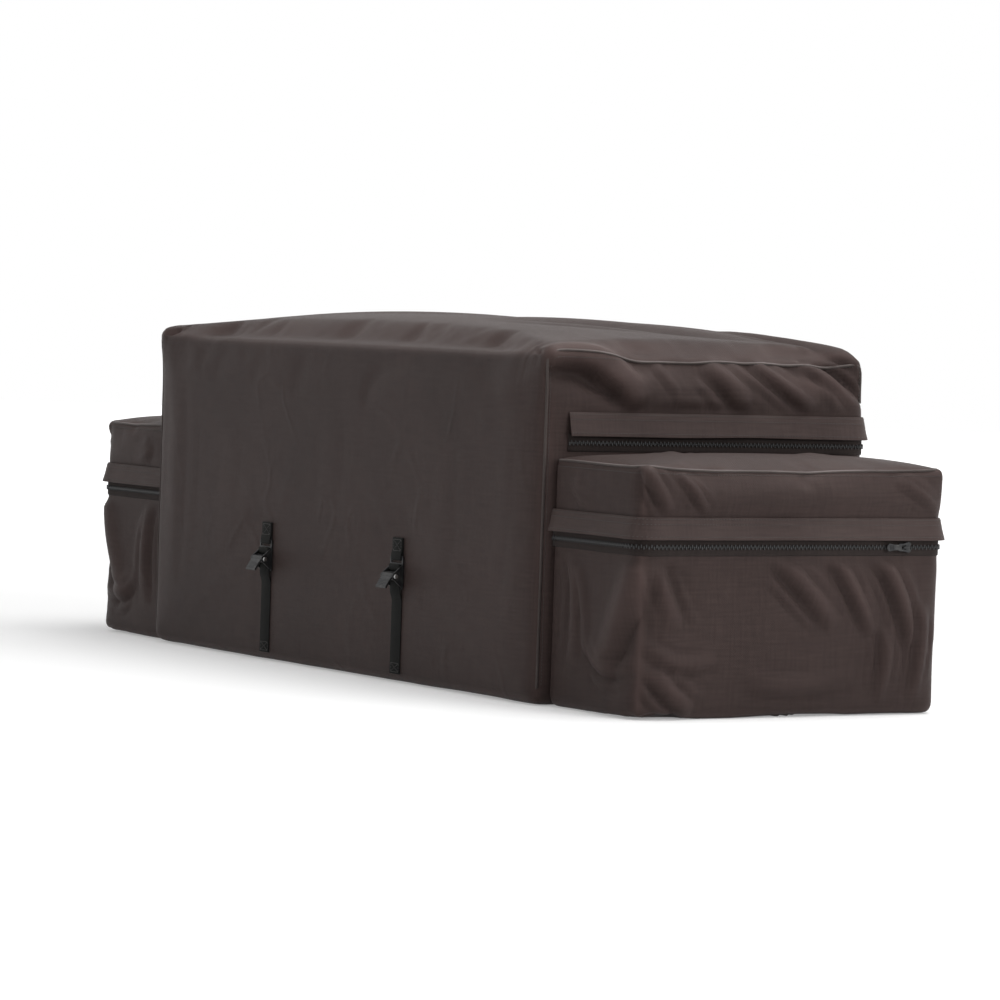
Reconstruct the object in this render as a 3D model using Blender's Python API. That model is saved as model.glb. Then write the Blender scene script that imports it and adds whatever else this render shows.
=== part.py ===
"""Soft cargo bag for a hitch tray: a tall stuffed block, a low compartment at each end,
zips under storm flaps, and four tie-down straps with toothed cam buckles.
Metres, +Z up. X runs along the bag, -Y is the front, z = 0 is the flat base."""

import math

import bmesh
import bpy
from mathutils import Matrix, Vector

# Driving dimensions of the bag
MAIN_LENGTH = 1.03
MAIN_DEPTH = 0.50
MAIN_HEIGHT = 0.445
MAIN_CROWN = 0.030
END_LENGTH = 0.195
END_DEPTH = 0.46
END_HEIGHT = 0.310
END_CROWN = 0.004
MAIN_ZIP_HEIGHT = 0.329
END_ZIP_HEIGHT = 0.211

# Roundings of the stuffed blocks
CORNER_RADIUS = 0.030
BASE_EDGE_RADIUS = 0.020
MAIN_EDGE_RADIUS = 0.034
END_EDGE_RADIUS = 0.022
SEAM_RADIUS = 0.004
ARC_STEPS = 6
CROWN_STEPS = 6
CROWN_FLAT = 0.030

# Clearances
GAP = 0.0003
RUNNING_GAP = 0.0004

# Zips
TAPE_HALF_HEIGHT = 0.011
TAPE_THICKNESS = 0.0012
CHAIN_HALF_HEIGHT = 0.003
CHAIN_HEIGHT = 0.0022
MAIN_ZIP_SETBACK = 0.036

# Storm flaps
FLAP_THICKNESS = 0.0022
FLAP_LEAN = 0.0042
FLAP_OVERLAP = 0.008
MAIN_FLAP_DROP = 0.030
END_FLAP_DROP = 0.028

# Zip sliders and their pull tabs
SLIDER_HALF_LENGTH = 0.0090
SLIDER_NOSE_HALF_WIDTH = 0.0066
SLIDER_TAIL_HALF_WIDTH = 0.0048
SLIDER_PLATE = 0.0018
BAIL_HALF_LENGTH = 0.0050
BAIL_HALF_WIDTH = 0.0013
BAIL_BAR = 0.0014
CROSSBAR_RADIUS = 0.0008
PULL_LENGTH = 0.030
PULL_HALF_WIDTH = 0.0048
PULL_ARM = 0.0020
PULL_THICKNESS = 0.0014
PULL_EYE_LENGTH = 0.0072
SLIDER_SPACING = 0.024
END_SLIDER_SETBACK = 0.065

# Tie-down straps and cam buckles
STRAP_SPACING = 0.350
WEBBING_HALF_WIDTH = 0.0125
WEBBING_THICKNESS = 0.0012
STRAP_END_HEIGHT = 0.012
BUCKLE_HEIGHT = 0.140
TAB_REACH = 0.050
FRAME_PLATE = 0.0016
FRAME_HALF_HEIGHT = 0.017
FRAME_BAR_WIDTH = 0.004
FRAME_SLOT = 0.0055
FRAME_SIDE_CLEARANCE = 0.0007
CHEEK_THICKNESS = 0.0020
FRAME_RIM = 0.0010
CHEEK_HALF_BASE = 0.014
PIN_RADIUS = 0.0020
PIN_HEAD_RADIUS = 0.0032
PIN_HEAD_HEIGHT = 0.0010
HUB_RADIUS = 0.0052
TOOTH_TIP_RADIUS = 0.0077
TOOTH_ROOT_RADIUS = 0.0066
TOOTH_COUNT = 5
TOOTH_PITCH = math.radians(12)
TOOTH_RAKE = math.radians(8)
LEVER_REACH = 0.020
LEVER_REST = math.radians(32)
LEVER_OUTER_OFFSET = 0.0042
LEVER_INNER_OFFSET = 0.0020
LEVER_RIDGES = 5
LEVER_RIDGE_HEIGHT = 0.0005

# Heights above a face that the webbing lies on, measured outwards from the face
PLATE_BACK = GAP + WEBBING_THICKNESS + GAP
PLATE_FRONT = PLATE_BACK + FRAME_PLATE
STRAP_BACK = PLATE_FRONT + GAP
PIN_OUT = STRAP_BACK + WEBBING_THICKNESS + GAP + TOOTH_TIP_RADIUS
CHEEK_INNER = WEBBING_HALF_WIDTH + FRAME_SIDE_CLEARANCE
CHEEK_OUTER = CHEEK_INNER + CHEEK_THICKNESS

# Heights of the zip's layers above the face that it is sewn to
TAPE_FRONT = GAP + TAPE_THICKNESS
CHAIN_FRONT = TAPE_FRONT + CHAIN_HEIGHT
SLIDER_BACK = TAPE_FRONT + GAP
SLIDER_CHANNEL = CHAIN_FRONT + GAP
SLIDER_FRONT = SLIDER_CHANNEL + SLIDER_PLATE
PULL_AXIS = SLIDER_FRONT + RUNNING_GAP + CROSSBAR_RADIUS
BAIL_INNER = PULL_AXIS + CROSSBAR_RADIUS + RUNNING_GAP

FRONT = 0.0
BACK = math.pi
RIGHT = math.pi / 2
LEFT = -math.pi / 2

for old in list(bpy.data.objects):
    bpy.data.objects.remove(old, do_unlink=True)


def material(name, colour, roughness, metallic=0.0):
    made = bpy.data.materials.get(name) or bpy.data.materials.new(name)
    made.use_nodes = True
    shader = made.node_tree.nodes["Principled BSDF"]
    shader.inputs["Base Color"].default_value = (*colour, 1.0)
    shader.inputs["Roughness"].default_value = roughness
    shader.inputs["Metallic"].default_value = metallic
    return made


def coated_fabric():
    return material("coated_fabric", (0.040, 0.036, 0.034), 0.55)


def zip_tape():
    return material("zip_tape", (0.012, 0.012, 0.013), 0.70)


def webbing():
    return material("webbing", (0.016, 0.016, 0.017), 0.80)


def blackened_metal():
    return material("blackened_metal", (0.050, 0.050, 0.052), 0.38, 0.9)


def plated_pin():
    return material("plated_pin", (0.42, 0.42, 0.43), 0.30, 1.0)


def object_from(bm, name, look, smooth_angle=math.radians(40)):
    """Close the bmesh into a named object with one material and outward faces."""
    bmesh.ops.recalc_face_normals(bm, faces=bm.faces)
    mesh = bpy.data.meshes.new(name)
    bm.to_mesh(mesh)
    bm.free()
    mesh.materials.append(look)
    mesh.shade_smooth()
    mesh.set_sharp_from_angle(angle=smooth_angle)
    made = bpy.data.objects.new(name, mesh)
    bpy.context.scene.collection.objects.link(made)
    return made


def loop_of(bm, points):
    """A closed loop of edges through the points."""
    verts = [bm.verts.new(point) for point in points]
    edges = [bm.edges.new((verts[i - 1], verts[i])) for i in range(len(verts))]
    return verts, edges


def loft(rings):
    """Bridge each ring of points to the next, and cap both ends."""
    bm = bmesh.new()
    loops = [loop_of(bm, ring) for ring in rings]
    for (_, lower), (_, upper) in zip(loops, loops[1:]):
        bmesh.ops.bridge_loops(bm, edges=lower + upper)
    bm.faces.new(loops[0][0])
    bm.faces.new(loops[-1][0])
    return bm


def extrude_outline(points, half_width):
    """Extrude an outline of (outwards, up) points to both sides of x = 0."""
    bm = bmesh.new()
    face = bm.faces.new([bm.verts.new((-half_width, -out, up)) for out, up in points])
    moved = bmesh.ops.extrude_face_region(bm, geom=[face])["geom"]
    verts = [item for item in moved if isinstance(item, bmesh.types.BMVert)]
    bmesh.ops.translate(bm, verts=verts, vec=(2 * half_width, 0, 0))
    return bm


def box(x_range, out_range, up_range):
    """A box between two values along x, outwards from the face, and up."""
    bm = bmesh.new()
    size = [x_range[1] - x_range[0], out_range[1] - out_range[0], up_range[1] - up_range[0]]
    centre = Vector((sum(x_range) / 2, -sum(out_range) / 2, sum(up_range) / 2))
    bmesh.ops.create_cube(bm, size=1.0, matrix=Matrix.Translation(centre) @ Matrix.Diagonal((*size, 1.0)))
    return bm


def rod(axis, radius, half_length, centre=(0, 0, 0), segments=24):
    """A plain cylinder along x, y or z."""
    bm = bmesh.new()
    turn = {"x": Matrix.Rotation(math.pi / 2, 4, "Y"), "y": Matrix.Rotation(math.pi / 2, 4, "X"),
            "z": Matrix.Identity(4)}[axis]
    bmesh.ops.create_cone(
        bm, cap_ends=True, segments=segments, radius1=radius, radius2=radius,
        depth=2 * half_length, matrix=Matrix.Translation(centre) @ turn)
    return bm


def boolean(target, tool_bm, operation):
    """Cut or join a tool shape, and keep the result as the target's own mesh."""
    tool = object_from(tool_bm, target.name + "_tool", target.data.materials[0])
    step = target.modifiers.new("step", "BOOLEAN")
    step.operation = operation
    step.object = tool
    evaluated = target.evaluated_get(bpy.context.evaluated_depsgraph_get())
    result = bpy.data.meshes.new_from_object(evaluated)
    target.modifiers.clear()
    target.data = result
    bpy.data.objects.remove(tool, do_unlink=True)
    return target


def tidy_shading(target, angle=math.radians(35)):
    target.data.shade_smooth()
    target.data.set_sharp_from_angle(angle=angle)
    return target


def copy_of(source, name, location, turn, flip=0.0):
    """A copy that shares the source's mesh, turned about z after a flip about y."""
    made = bpy.data.objects.new(name, source.data)
    bpy.context.scene.collection.objects.link(made)
    made.matrix_world = (
        Matrix.Translation(location) @ Matrix.Rotation(turn, 4, "Z") @ Matrix.Rotation(flip, 4, "Y"))
    return made


def rounded_ring(x_range, y_range, radii, height):
    """A rounded rectangle at one height; radii run from the low-x low-y corner, anticlockwise."""
    (x0, x1), (y0, y1) = x_range, y_range
    corners = [(x0, y0, 1, 1), (x1, y0, -1, 1), (x1, y1, -1, -1), (x0, y1, 1, -1)]
    points = []
    for index, ((x, y, inward_x, inward_y), radius) in enumerate(zip(corners, radii)):
        start = math.pi + index * math.pi / 2
        centre = (x + inward_x * radius, y + inward_y * radius)
        for step in range(ARC_STEPS + 1):
            angle = start + step / ARC_STEPS * math.pi / 2
            points.append((centre[0] + radius * math.cos(angle), centre[1] + radius * math.sin(angle), height))
    return points


def base_levels(top):
    """Inset and height of each ring from the flat base up to the lid's split."""
    levels = []
    for step in range(ARC_STEPS + 1):
        angle = step / ARC_STEPS * math.pi / 2
        inset = BASE_EDGE_RADIUS * (1 - math.sin(angle))
        levels.append((inset, BASE_EDGE_RADIUS * (1 - math.cos(angle))))
    levels.append((0.0, top))
    return levels


def lid_levels(bottom, height, crown, edge_radius, reach):
    """Inset and height of each ring from the split, round the top edge and over the crown."""
    levels = [(0.0, bottom)]
    for step in range(ARC_STEPS + 1):
        angle = step / ARC_STEPS * math.pi / 2
        levels.append((edge_radius * (1 - math.cos(angle)), height - edge_radius * (1 - math.sin(angle))))
    for step in range(1, CROWN_STEPS + 1):
        share = step / CROWN_STEPS
        levels.append((edge_radius + share * (reach - edge_radius), height + crown * (1 - (1 - share) ** 2)))
    return levels


def main_block(levels):
    """Rings of the middle block, drawn in on all four sides."""
    rings = []
    for inset, height in levels:
        half_x = MAIN_LENGTH / 2 - inset
        half_y = MAIN_DEPTH / 2 - inset
        radius = max(CORNER_RADIUS - inset, SEAM_RADIUS)
        rings.append(rounded_ring((-half_x, half_x), (-half_y, half_y), [radius] * 4, height))
    return loft(rings)


def end_block(levels, side):
    """Rings of an end compartment, square against the middle block and drawn in on three sides."""
    rings = []
    inner = MAIN_LENGTH / 2 + GAP
    for inset, height in levels:
        outer = MAIN_LENGTH / 2 + END_LENGTH - inset
        half_y = END_DEPTH / 2 - inset
        radius = max(CORNER_RADIUS - inset, SEAM_RADIUS)
        x_range = (inner, outer) if side > 0 else (-outer, -inner)
        outer_first = [SEAM_RADIUS, radius, radius, SEAM_RADIUS]
        radii = outer_first if side > 0 else [radius, SEAM_RADIUS, SEAM_RADIUS, radius]
        rings.append(rounded_ring(x_range, (-half_y, half_y), radii, height))
    return loft(rings)


def make_main_block():
    reach = MAIN_DEPTH / 2 - CROWN_FLAT
    body = base_levels(MAIN_ZIP_HEIGHT - GAP / 2)
    lid = lid_levels(MAIN_ZIP_HEIGHT + GAP / 2, MAIN_HEIGHT, MAIN_CROWN, MAIN_EDGE_RADIUS, reach)
    object_from(main_block(body), "main_body", coated_fabric())
    object_from(main_block(lid), "main_lid", coated_fabric())


def make_end_blocks():
    reach = END_LENGTH - CROWN_FLAT
    body = base_levels(END_ZIP_HEIGHT - GAP / 2)
    lid = lid_levels(END_ZIP_HEIGHT + GAP / 2, END_HEIGHT, END_CROWN, END_EDGE_RADIUS, reach)
    for name, side in (("left", -1), ("right", 1)):
        object_from(end_block(body, side), "end_body_" + name, coated_fabric())
        object_from(end_block(lid, side), "end_lid_" + name, coated_fabric())


def three_sided_path(half_width, length, radius):
    """Points and outward directions round three sides; across is x and the depth is +y from 0."""
    stations = [(Vector((-half_width, 0)), Vector((-1, 0)))]
    for corner, start in ((-1, math.pi), (1, math.pi / 2)):
        centre = Vector((corner * (half_width - radius), length - radius))
        for step in range(ARC_STEPS + 1):
            angle = start - step / ARC_STEPS * math.pi / 2
            outward = Vector((math.cos(angle), math.sin(angle)))
            stations.append((centre + radius * outward, outward))
    stations.append((Vector((half_width, 0)), Vector((1, 0))))
    return stations


def band(stations, section, to_world):
    """Carry a section of (outwards, up) points along the stations."""
    rings = []
    for point, outward in stations:
        ring = []
        for out, up in section:
            flat = point + out * outward
            ring.append(to_world(flat.x, flat.y, up))
        rings.append(ring)
    return loft(rings)


def zip_section(height):
    """Tape with the coil as a bead along its middle."""
    return [
        (GAP, height - TAPE_HALF_HEIGHT),
        (TAPE_FRONT, height - TAPE_HALF_HEIGHT),
        (TAPE_FRONT, height - CHAIN_HALF_HEIGHT),
        (CHAIN_FRONT, height - CHAIN_HALF_HEIGHT * 0.6),
        (CHAIN_FRONT, height + CHAIN_HALF_HEIGHT * 0.6),
        (TAPE_FRONT, height + CHAIN_HALF_HEIGHT),
        (TAPE_FRONT, height + TAPE_HALF_HEIGHT),
        (GAP, height + TAPE_HALF_HEIGHT),
    ]


def flap_section(zip_height, drop):
    """A strip sewn along its top edge, standing off at the bottom to clear the zip."""
    bottom = zip_height + FLAP_OVERLAP
    top = bottom + drop
    seam = top - drop * 0.2
    return [
        (GAP + FLAP_LEAN, bottom),
        (GAP + FLAP_LEAN + FLAP_THICKNESS, bottom),
        (GAP + FLAP_LEAN + FLAP_THICKNESS, bottom + drop * 0.12),
        (GAP + FLAP_LEAN * 0.45 + FLAP_THICKNESS, bottom + drop * 0.5),
        (GAP + FLAP_THICKNESS, seam),
        (GAP + FLAP_THICKNESS * 0.5, top),
        (GAP, top),
        (GAP, seam),
        (GAP + FLAP_LEAN * 0.45, bottom + drop * 0.5),
    ]


def make_zip_bands():
    end_path = three_sided_path(END_DEPTH / 2, END_LENGTH - GAP, CORNER_RADIUS)
    main_path = three_sided_path(MAIN_LENGTH / 2, MAIN_DEPTH - MAIN_ZIP_SETBACK, CORNER_RADIUS)
    end_start = MAIN_LENGTH / 2 + GAP
    main_start = -MAIN_DEPTH / 2 + MAIN_ZIP_SETBACK
    bands = [
        ("main", main_path, MAIN_ZIP_HEIGHT, MAIN_FLAP_DROP, lambda x, y, z: (x, main_start + y, z)),
        ("end_left", end_path, END_ZIP_HEIGHT, END_FLAP_DROP, lambda x, y, z: (-end_start - y, x, z)),
        ("end_right", end_path, END_ZIP_HEIGHT, END_FLAP_DROP, lambda x, y, z: (end_start + y, x, z)),
    ]
    for name, path, height, drop, to_world in bands:
        kind, _, side = name.partition("_")
        suffix = "_" + side if side else ""
        object_from(band(path, zip_section(height), to_world), kind + "_zip" + suffix, zip_tape())
        object_from(band(path, flap_section(height, drop), to_world), kind + "_flap" + suffix, coated_fabric())


def slider_mesh():
    """Slider with its tail towards +x: a plate, a channel for the chain and a bail."""
    nose, tail, half = SLIDER_NOSE_HALF_WIDTH, SLIDER_TAIL_HALF_WIDTH, SLIDER_HALF_LENGTH
    shoulder = half * 0.35
    notch = half * 0.72
    outline = [
        (-notch, 0.0), (-half, -nose * 0.55), (-half * 0.8, -nose), (-shoulder, -nose),
        (shoulder, -tail), (half * 0.85, -tail), (half, -tail * 0.7),
        (half, tail * 0.7), (half * 0.85, tail), (shoulder, tail),
        (-shoulder, nose), (-half * 0.8, nose), (-half, nose * 0.55),
    ]
    bm = bmesh.new()
    face = bm.faces.new([bm.verts.new((x, -SLIDER_BACK, z)) for x, z in outline])
    moved = bmesh.ops.extrude_face_region(bm, geom=[face])["geom"]
    verts = [item for item in moved if isinstance(item, bmesh.types.BMVert)]
    bmesh.ops.translate(bm, verts=verts, vec=(0, -(SLIDER_FRONT - SLIDER_BACK), 0))
    front_edges = [edge for edge in bm.edges if all(abs(v.co.y + SLIDER_FRONT) < 1e-6 for v in edge.verts)]
    bmesh.ops.bevel(bm, geom=front_edges, offset=0.0006, segments=2, profile=0.5, affect="EDGES", material=-1)
    slider = object_from(bm, "slider", blackened_metal())
    channel = CHAIN_HALF_HEIGHT + RUNNING_GAP
    boolean(slider, box((-0.02, 0.02), (-0.01, SLIDER_CHANNEL), (-channel, channel)), "DIFFERENCE")
    bail_outer = BAIL_INNER + BAIL_BAR
    window = BAIL_HALF_LENGTH - BAIL_BAR
    chamfer = BAIL_BAR * 0.8
    root = SLIDER_FRONT - SLIDER_PLATE * 0.6
    bail = bmesh.new()
    outline = [
        (-BAIL_HALF_LENGTH, root), (-BAIL_HALF_LENGTH, bail_outer - chamfer),
        (-BAIL_HALF_LENGTH + chamfer, bail_outer), (BAIL_HALF_LENGTH - chamfer, bail_outer),
        (BAIL_HALF_LENGTH, bail_outer - chamfer), (BAIL_HALF_LENGTH, root),
        (window, root), (window, BAIL_INNER), (-window, BAIL_INNER), (-window, root),
    ]
    face = bail.faces.new([bail.verts.new((x, -out, -BAIL_HALF_WIDTH)) for x, out in outline])
    moved = bmesh.ops.extrude_face_region(bail, geom=[face])["geom"]
    verts = [item for item in moved if isinstance(item, bmesh.types.BMVert)]
    bmesh.ops.translate(bail, verts=verts, vec=(0, 0, 2 * BAIL_HALF_WIDTH))
    boolean(slider, bail, "UNION")
    return tidy_shading(slider)


def pull_mesh():
    """Pull tab along +x: a crossbar in the bail, two arms, a waist and a ridged grip."""
    half, thin = PULL_HALF_WIDTH, PULL_THICKNESS / 2
    waist = half * 0.72
    tip = PULL_LENGTH
    outline = [(-CROSSBAR_RADIUS, -half), (PULL_EYE_LENGTH + 0.002, -half), (0.013, -waist), (0.018, -waist)]
    for step in range(ARC_STEPS * 2 + 1):
        angle = -math.pi / 2 + step / (ARC_STEPS * 2) * math.pi
        outline.append((tip - half + half * math.cos(angle), half * math.sin(angle)))
    outline += [(0.018, waist), (0.013, waist), (PULL_EYE_LENGTH + 0.002, half), (-CROSSBAR_RADIUS, half)]
    bm = bmesh.new()
    face = bm.faces.new([bm.verts.new((x, -thin, z)) for x, z in outline])
    moved = bmesh.ops.extrude_face_region(bm, geom=[face])["geom"]
    verts = [item for item in moved if isinstance(item, bmesh.types.BMVert)]
    bmesh.ops.translate(bm, verts=verts, vec=(0, 2 * thin, 0))
    pull = object_from(bm, "pull", blackened_metal())
    arm = half - PULL_ARM
    boolean(pull, box((-0.004, PULL_EYE_LENGTH), (-0.004, 0.004), (-arm, arm)), "DIFFERENCE")
    boolean(pull, rod("z", CROSSBAR_RADIUS, half - 0.0004, segments=12), "UNION")
    for step in range(3):
        at = 0.0195 + step * 0.0022
        boolean(pull, box((at, at + 0.0009), (thin - 0.0003, thin + 0.0004), (-half * 0.6, half * 0.6)), "UNION")
    return tidy_shading(pull)


def make_sliders():
    slider = slider_mesh()
    pull = pull_mesh()
    back = MAIN_DEPTH / 2
    end = MAIN_LENGTH / 2 + END_LENGTH
    end_park = END_DEPTH / 2 - END_SLIDER_SETBACK
    places = [
        ("main_slider_left", "main_pull_left", Vector((-SLIDER_SPACING / 2, back, MAIN_ZIP_HEIGHT)), BACK, 0.0),
        ("main_slider_right", "main_pull_right", Vector((SLIDER_SPACING / 2, back, MAIN_ZIP_HEIGHT)), BACK, math.pi),
        ("end_slider_left", "end_pull_left", Vector((-end, end_park, END_ZIP_HEIGHT)), LEFT, 0.0),
        ("end_slider_right", "end_pull_right", Vector((end, end_park, END_ZIP_HEIGHT)), RIGHT, math.pi),
    ]
    for slider_name, pull_name, at, turn, flip in places:
        copy_of(slider, slider_name, at, turn, flip)
        outward = Matrix.Rotation(turn, 3, "Z") @ Vector((0, -1, 0))
        copy_of(pull, pull_name, at + PULL_AXIS * outward, turn, flip)
    bpy.data.objects.remove(slider, do_unlink=True)
    bpy.data.objects.remove(pull, do_unlink=True)


def strip_along(path, half_width, thickness):
    """Webbing of one thickness along a path of (outwards, up) centre points."""
    rings = []
    for index, (out, up) in enumerate(path):
        before = Vector(path[max(index - 1, 0)])
        after = Vector(path[min(index + 1, len(path) - 1)])
        along = (after - before).normalized()
        side = Vector((along.y, -along.x)) * thickness / 2
        near, far = Vector((out, up)) - side, Vector((out, up)) + side
        rings.append([
            (-half_width, -near.x, near.y), (half_width, -near.x, near.y),
            (half_width, -far.x, far.y), (-half_width, -far.x, far.y)])
    return loft(rings)


def tab_path():
    """Down behind the frame's bar, round under its lower edge, up its front and back to the face."""
    bar_bottom = FRAME_HALF_HEIGHT + FRAME_SLOT
    back = GAP + WEBBING_THICKNESS / 2
    front = PLATE_FRONT + GAP + WEBBING_THICKNESS / 2
    radius = (front - back) / 2
    middle = (front + back) / 2
    path = [(back, TAB_REACH), (back, bar_bottom + FRAME_BAR_WIDTH)]
    for step in range(ARC_STEPS + 1):
        angle = math.pi + step / ARC_STEPS * math.pi
        path.append((middle + radius * math.cos(angle), bar_bottom + radius * math.sin(angle)))
    second = back + WEBBING_THICKNESS + GAP
    path += [
        (front, bar_bottom + FRAME_BAR_WIDTH), (front - 0.0004, bar_bottom + FRAME_BAR_WIDTH + 0.002),
        (second + 0.0004, bar_bottom + FRAME_BAR_WIDTH + 0.007), (second, bar_bottom + FRAME_BAR_WIDTH + 0.0095),
        (second, TAB_REACH)]
    return path


def strap_path():
    """Up the face, out over the frame's plate and under the cam."""
    face = GAP + WEBBING_THICKNESS / 2
    over = STRAP_BACK + WEBBING_THICKNESS / 2
    ramp_bottom = -FRAME_HALF_HEIGHT - 0.016
    ramp_top = -FRAME_HALF_HEIGHT - 0.002
    path = [(face, STRAP_END_HEIGHT - BUCKLE_HEIGHT)]
    for step in range(ARC_STEPS + 1):
        share = step / ARC_STEPS
        eased = share * share * (3 - 2 * share)
        path.append((face + (over - face) * eased, ramp_bottom + (ramp_top - ramp_bottom) * share))
    path.append((over, HUB_RADIUS + 0.003))
    return path


def strap_mesh():
    """Webbing with a folded, sewn hem that stops it in the buckle."""
    strap = object_from(strip_along(strap_path(), WEBBING_HALF_WIDTH, WEBBING_THICKNESS), "strap", webbing())
    hem_bottom = HUB_RADIUS + 0.0025
    hem = box(
        (-WEBBING_HALF_WIDTH, WEBBING_HALF_WIDTH), (STRAP_BACK, STRAP_BACK + 3 * WEBBING_THICKNESS),
        (hem_bottom, hem_bottom + 0.008))
    edges = [edge for edge in hem.edges if abs(edge.verts[0].co.x - edge.verts[1].co.x) > 0.01]
    bmesh.ops.bevel(hem, geom=edges, offset=0.0008, segments=2, profile=0.5, affect="EDGES", material=-1)
    return tidy_shading(boolean(strap, hem, "UNION"))


def cheek_outline():
    """Side of the frame: a straight foot on the plate, drawn in to a round eye at the pin."""
    foot = PLATE_FRONT - PIN_OUT - FRAME_PLATE / 2
    points = [(foot, -CHEEK_HALF_BASE), (foot, CHEEK_HALF_BASE), (foot + FRAME_PLATE, CHEEK_HALF_BASE)]
    for step in range(ARC_STEPS * 2 + 1):
        angle = math.radians(65) - step / (ARC_STEPS * 2) * math.radians(130)
        points.append((HUB_RADIUS * math.cos(angle), HUB_RADIUS * math.sin(angle)))
    points.append((foot + FRAME_PLATE, -CHEEK_HALF_BASE))
    return points


def frame_mesh():
    """Buckle frame about the pin: plate, tab slot and bar, and two cheeks bored for the pin."""
    back = PLATE_BACK - PIN_OUT
    top = FRAME_HALF_HEIGHT + FRAME_SLOT + FRAME_BAR_WIDTH
    half = CHEEK_OUTER + FRAME_RIM
    plate = box((-half, half), (back, back + FRAME_PLATE), (-FRAME_HALF_HEIGHT, top))
    corners = [edge for edge in plate.edges if abs(edge.verts[0].co.y - edge.verts[1].co.y) > FRAME_PLATE / 2]
    bmesh.ops.bevel(plate, geom=corners, offset=0.003, segments=3, profile=0.5, affect="EDGES", material=-1)
    frame = object_from(plate, "frame", blackened_metal())
    slot_half = WEBBING_HALF_WIDTH + FRAME_SIDE_CLEARANCE
    slot_depth = (back - 0.002, back + FRAME_PLATE + 0.002)
    slot = box((-slot_half, slot_half), slot_depth, (FRAME_HALF_HEIGHT, FRAME_HALF_HEIGHT + FRAME_SLOT))
    boolean(frame, slot, "DIFFERENCE")
    for side in (-1, 1):
        cheek = extrude_outline(cheek_outline(), CHEEK_THICKNESS / 2)
        middle = side * (CHEEK_INNER + CHEEK_THICKNESS / 2)
        bmesh.ops.translate(cheek, verts=cheek.verts, vec=(middle, 0, 0))
        boolean(frame, cheek, "UNION")
    boolean(frame, rod("x", PIN_RADIUS + GAP, CHEEK_OUTER + 0.002), "DIFFERENCE")
    return tidy_shading(frame)


def cam_outline():
    """Toothed cam with a ridged thumb lever, about the pin; angles run from the face upwards."""
    def polar(angle, radius):
        return (-radius * math.cos(angle), radius * math.sin(angle))

    points = []
    for tooth in range(TOOTH_COUNT):
        angle = tooth * TOOTH_PITCH
        points.append(polar(angle, TOOTH_TIP_RADIUS))
        points.append(polar(angle + TOOTH_RAKE, TOOTH_ROOT_RADIUS))
    down = math.radians(270) - LEVER_REST
    normal = down - math.pi / 2
    outer_start = math.sqrt(HUB_RADIUS ** 2 - LEVER_OUTER_OFFSET ** 2)
    inner_start = math.sqrt(HUB_RADIUS ** 2 - LEVER_INNER_OFFSET ** 2)
    hub_from = TOOTH_COUNT * TOOTH_PITCH + TOOTH_PITCH
    hub_to = normal + math.atan2(outer_start, LEVER_OUTER_OFFSET)
    for step in range(ARC_STEPS + 1):
        points.append(polar(hub_from + step / ARC_STEPS * (hub_to - hub_from), HUB_RADIUS))

    def on_lever(along, offset):
        a, b = polar(down, along), polar(normal, offset)
        return (a[0] + b[0], a[1] + b[1])

    first = HUB_RADIUS + 0.0022
    pitch = (LEVER_REACH - 0.0015 - first) / LEVER_RIDGES
    for ridge in range(LEVER_RIDGES):
        at = first + ridge * pitch
        points.append(on_lever(at, LEVER_OUTER_OFFSET))
        points.append(on_lever(at + pitch * 0.35, LEVER_OUTER_OFFSET + LEVER_RIDGE_HEIGHT))
        points.append(on_lever(at + pitch * 0.65, LEVER_OUTER_OFFSET + LEVER_RIDGE_HEIGHT))
    middle = (LEVER_OUTER_OFFSET + LEVER_INNER_OFFSET) / 2
    half = (LEVER_OUTER_OFFSET - LEVER_INNER_OFFSET) / 2
    for step in range(5):
        angle = step / 4 * math.pi
        points.append(on_lever(LEVER_REACH - half + half * math.sin(angle), middle + half * math.cos(angle)))
    back_from = normal + math.atan2(inner_start, LEVER_INNER_OFFSET)
    back_to = 2 * math.pi - TOOTH_PITCH
    for step in range(ARC_STEPS + 1):
        points.append(polar(back_from + step / ARC_STEPS * (back_to - back_from), HUB_RADIUS))
    return points


def cam_mesh():
    cam = object_from(extrude_outline(cam_outline(), WEBBING_HALF_WIDTH), "cam", blackened_metal())
    boolean(cam, rod("x", PIN_RADIUS + GAP, WEBBING_HALF_WIDTH + 0.002), "DIFFERENCE")
    return tidy_shading(cam)


def pin_mesh():
    """A turned pin with a domed head outside each cheek."""
    head = CHEEK_OUTER + GAP
    profile = [
        (head + PIN_HEAD_HEIGHT, 0.0), (head + PIN_HEAD_HEIGHT, PIN_HEAD_RADIUS * 0.6),
        (head + PIN_HEAD_HEIGHT * 0.5, PIN_HEAD_RADIUS), (head, PIN_HEAD_RADIUS), (head, PIN_RADIUS)]
    profile += [(-x, radius) for x, radius in reversed(profile)]
    bm = bmesh.new()
    verts = [bm.verts.new((x, radius, 0)) for x, radius in profile]
    edges = [bm.edges.new(pair) for pair in zip(verts, verts[1:])]
    bmesh.ops.spin(bm, geom=verts + edges, cent=(0, 0, 0), axis=(1, 0, 0), angle=2 * math.pi, steps=20)
    bmesh.ops.remove_doubles(bm, verts=bm.verts, dist=0.00001)
    return object_from(bm, "pin", plated_pin())


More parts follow.
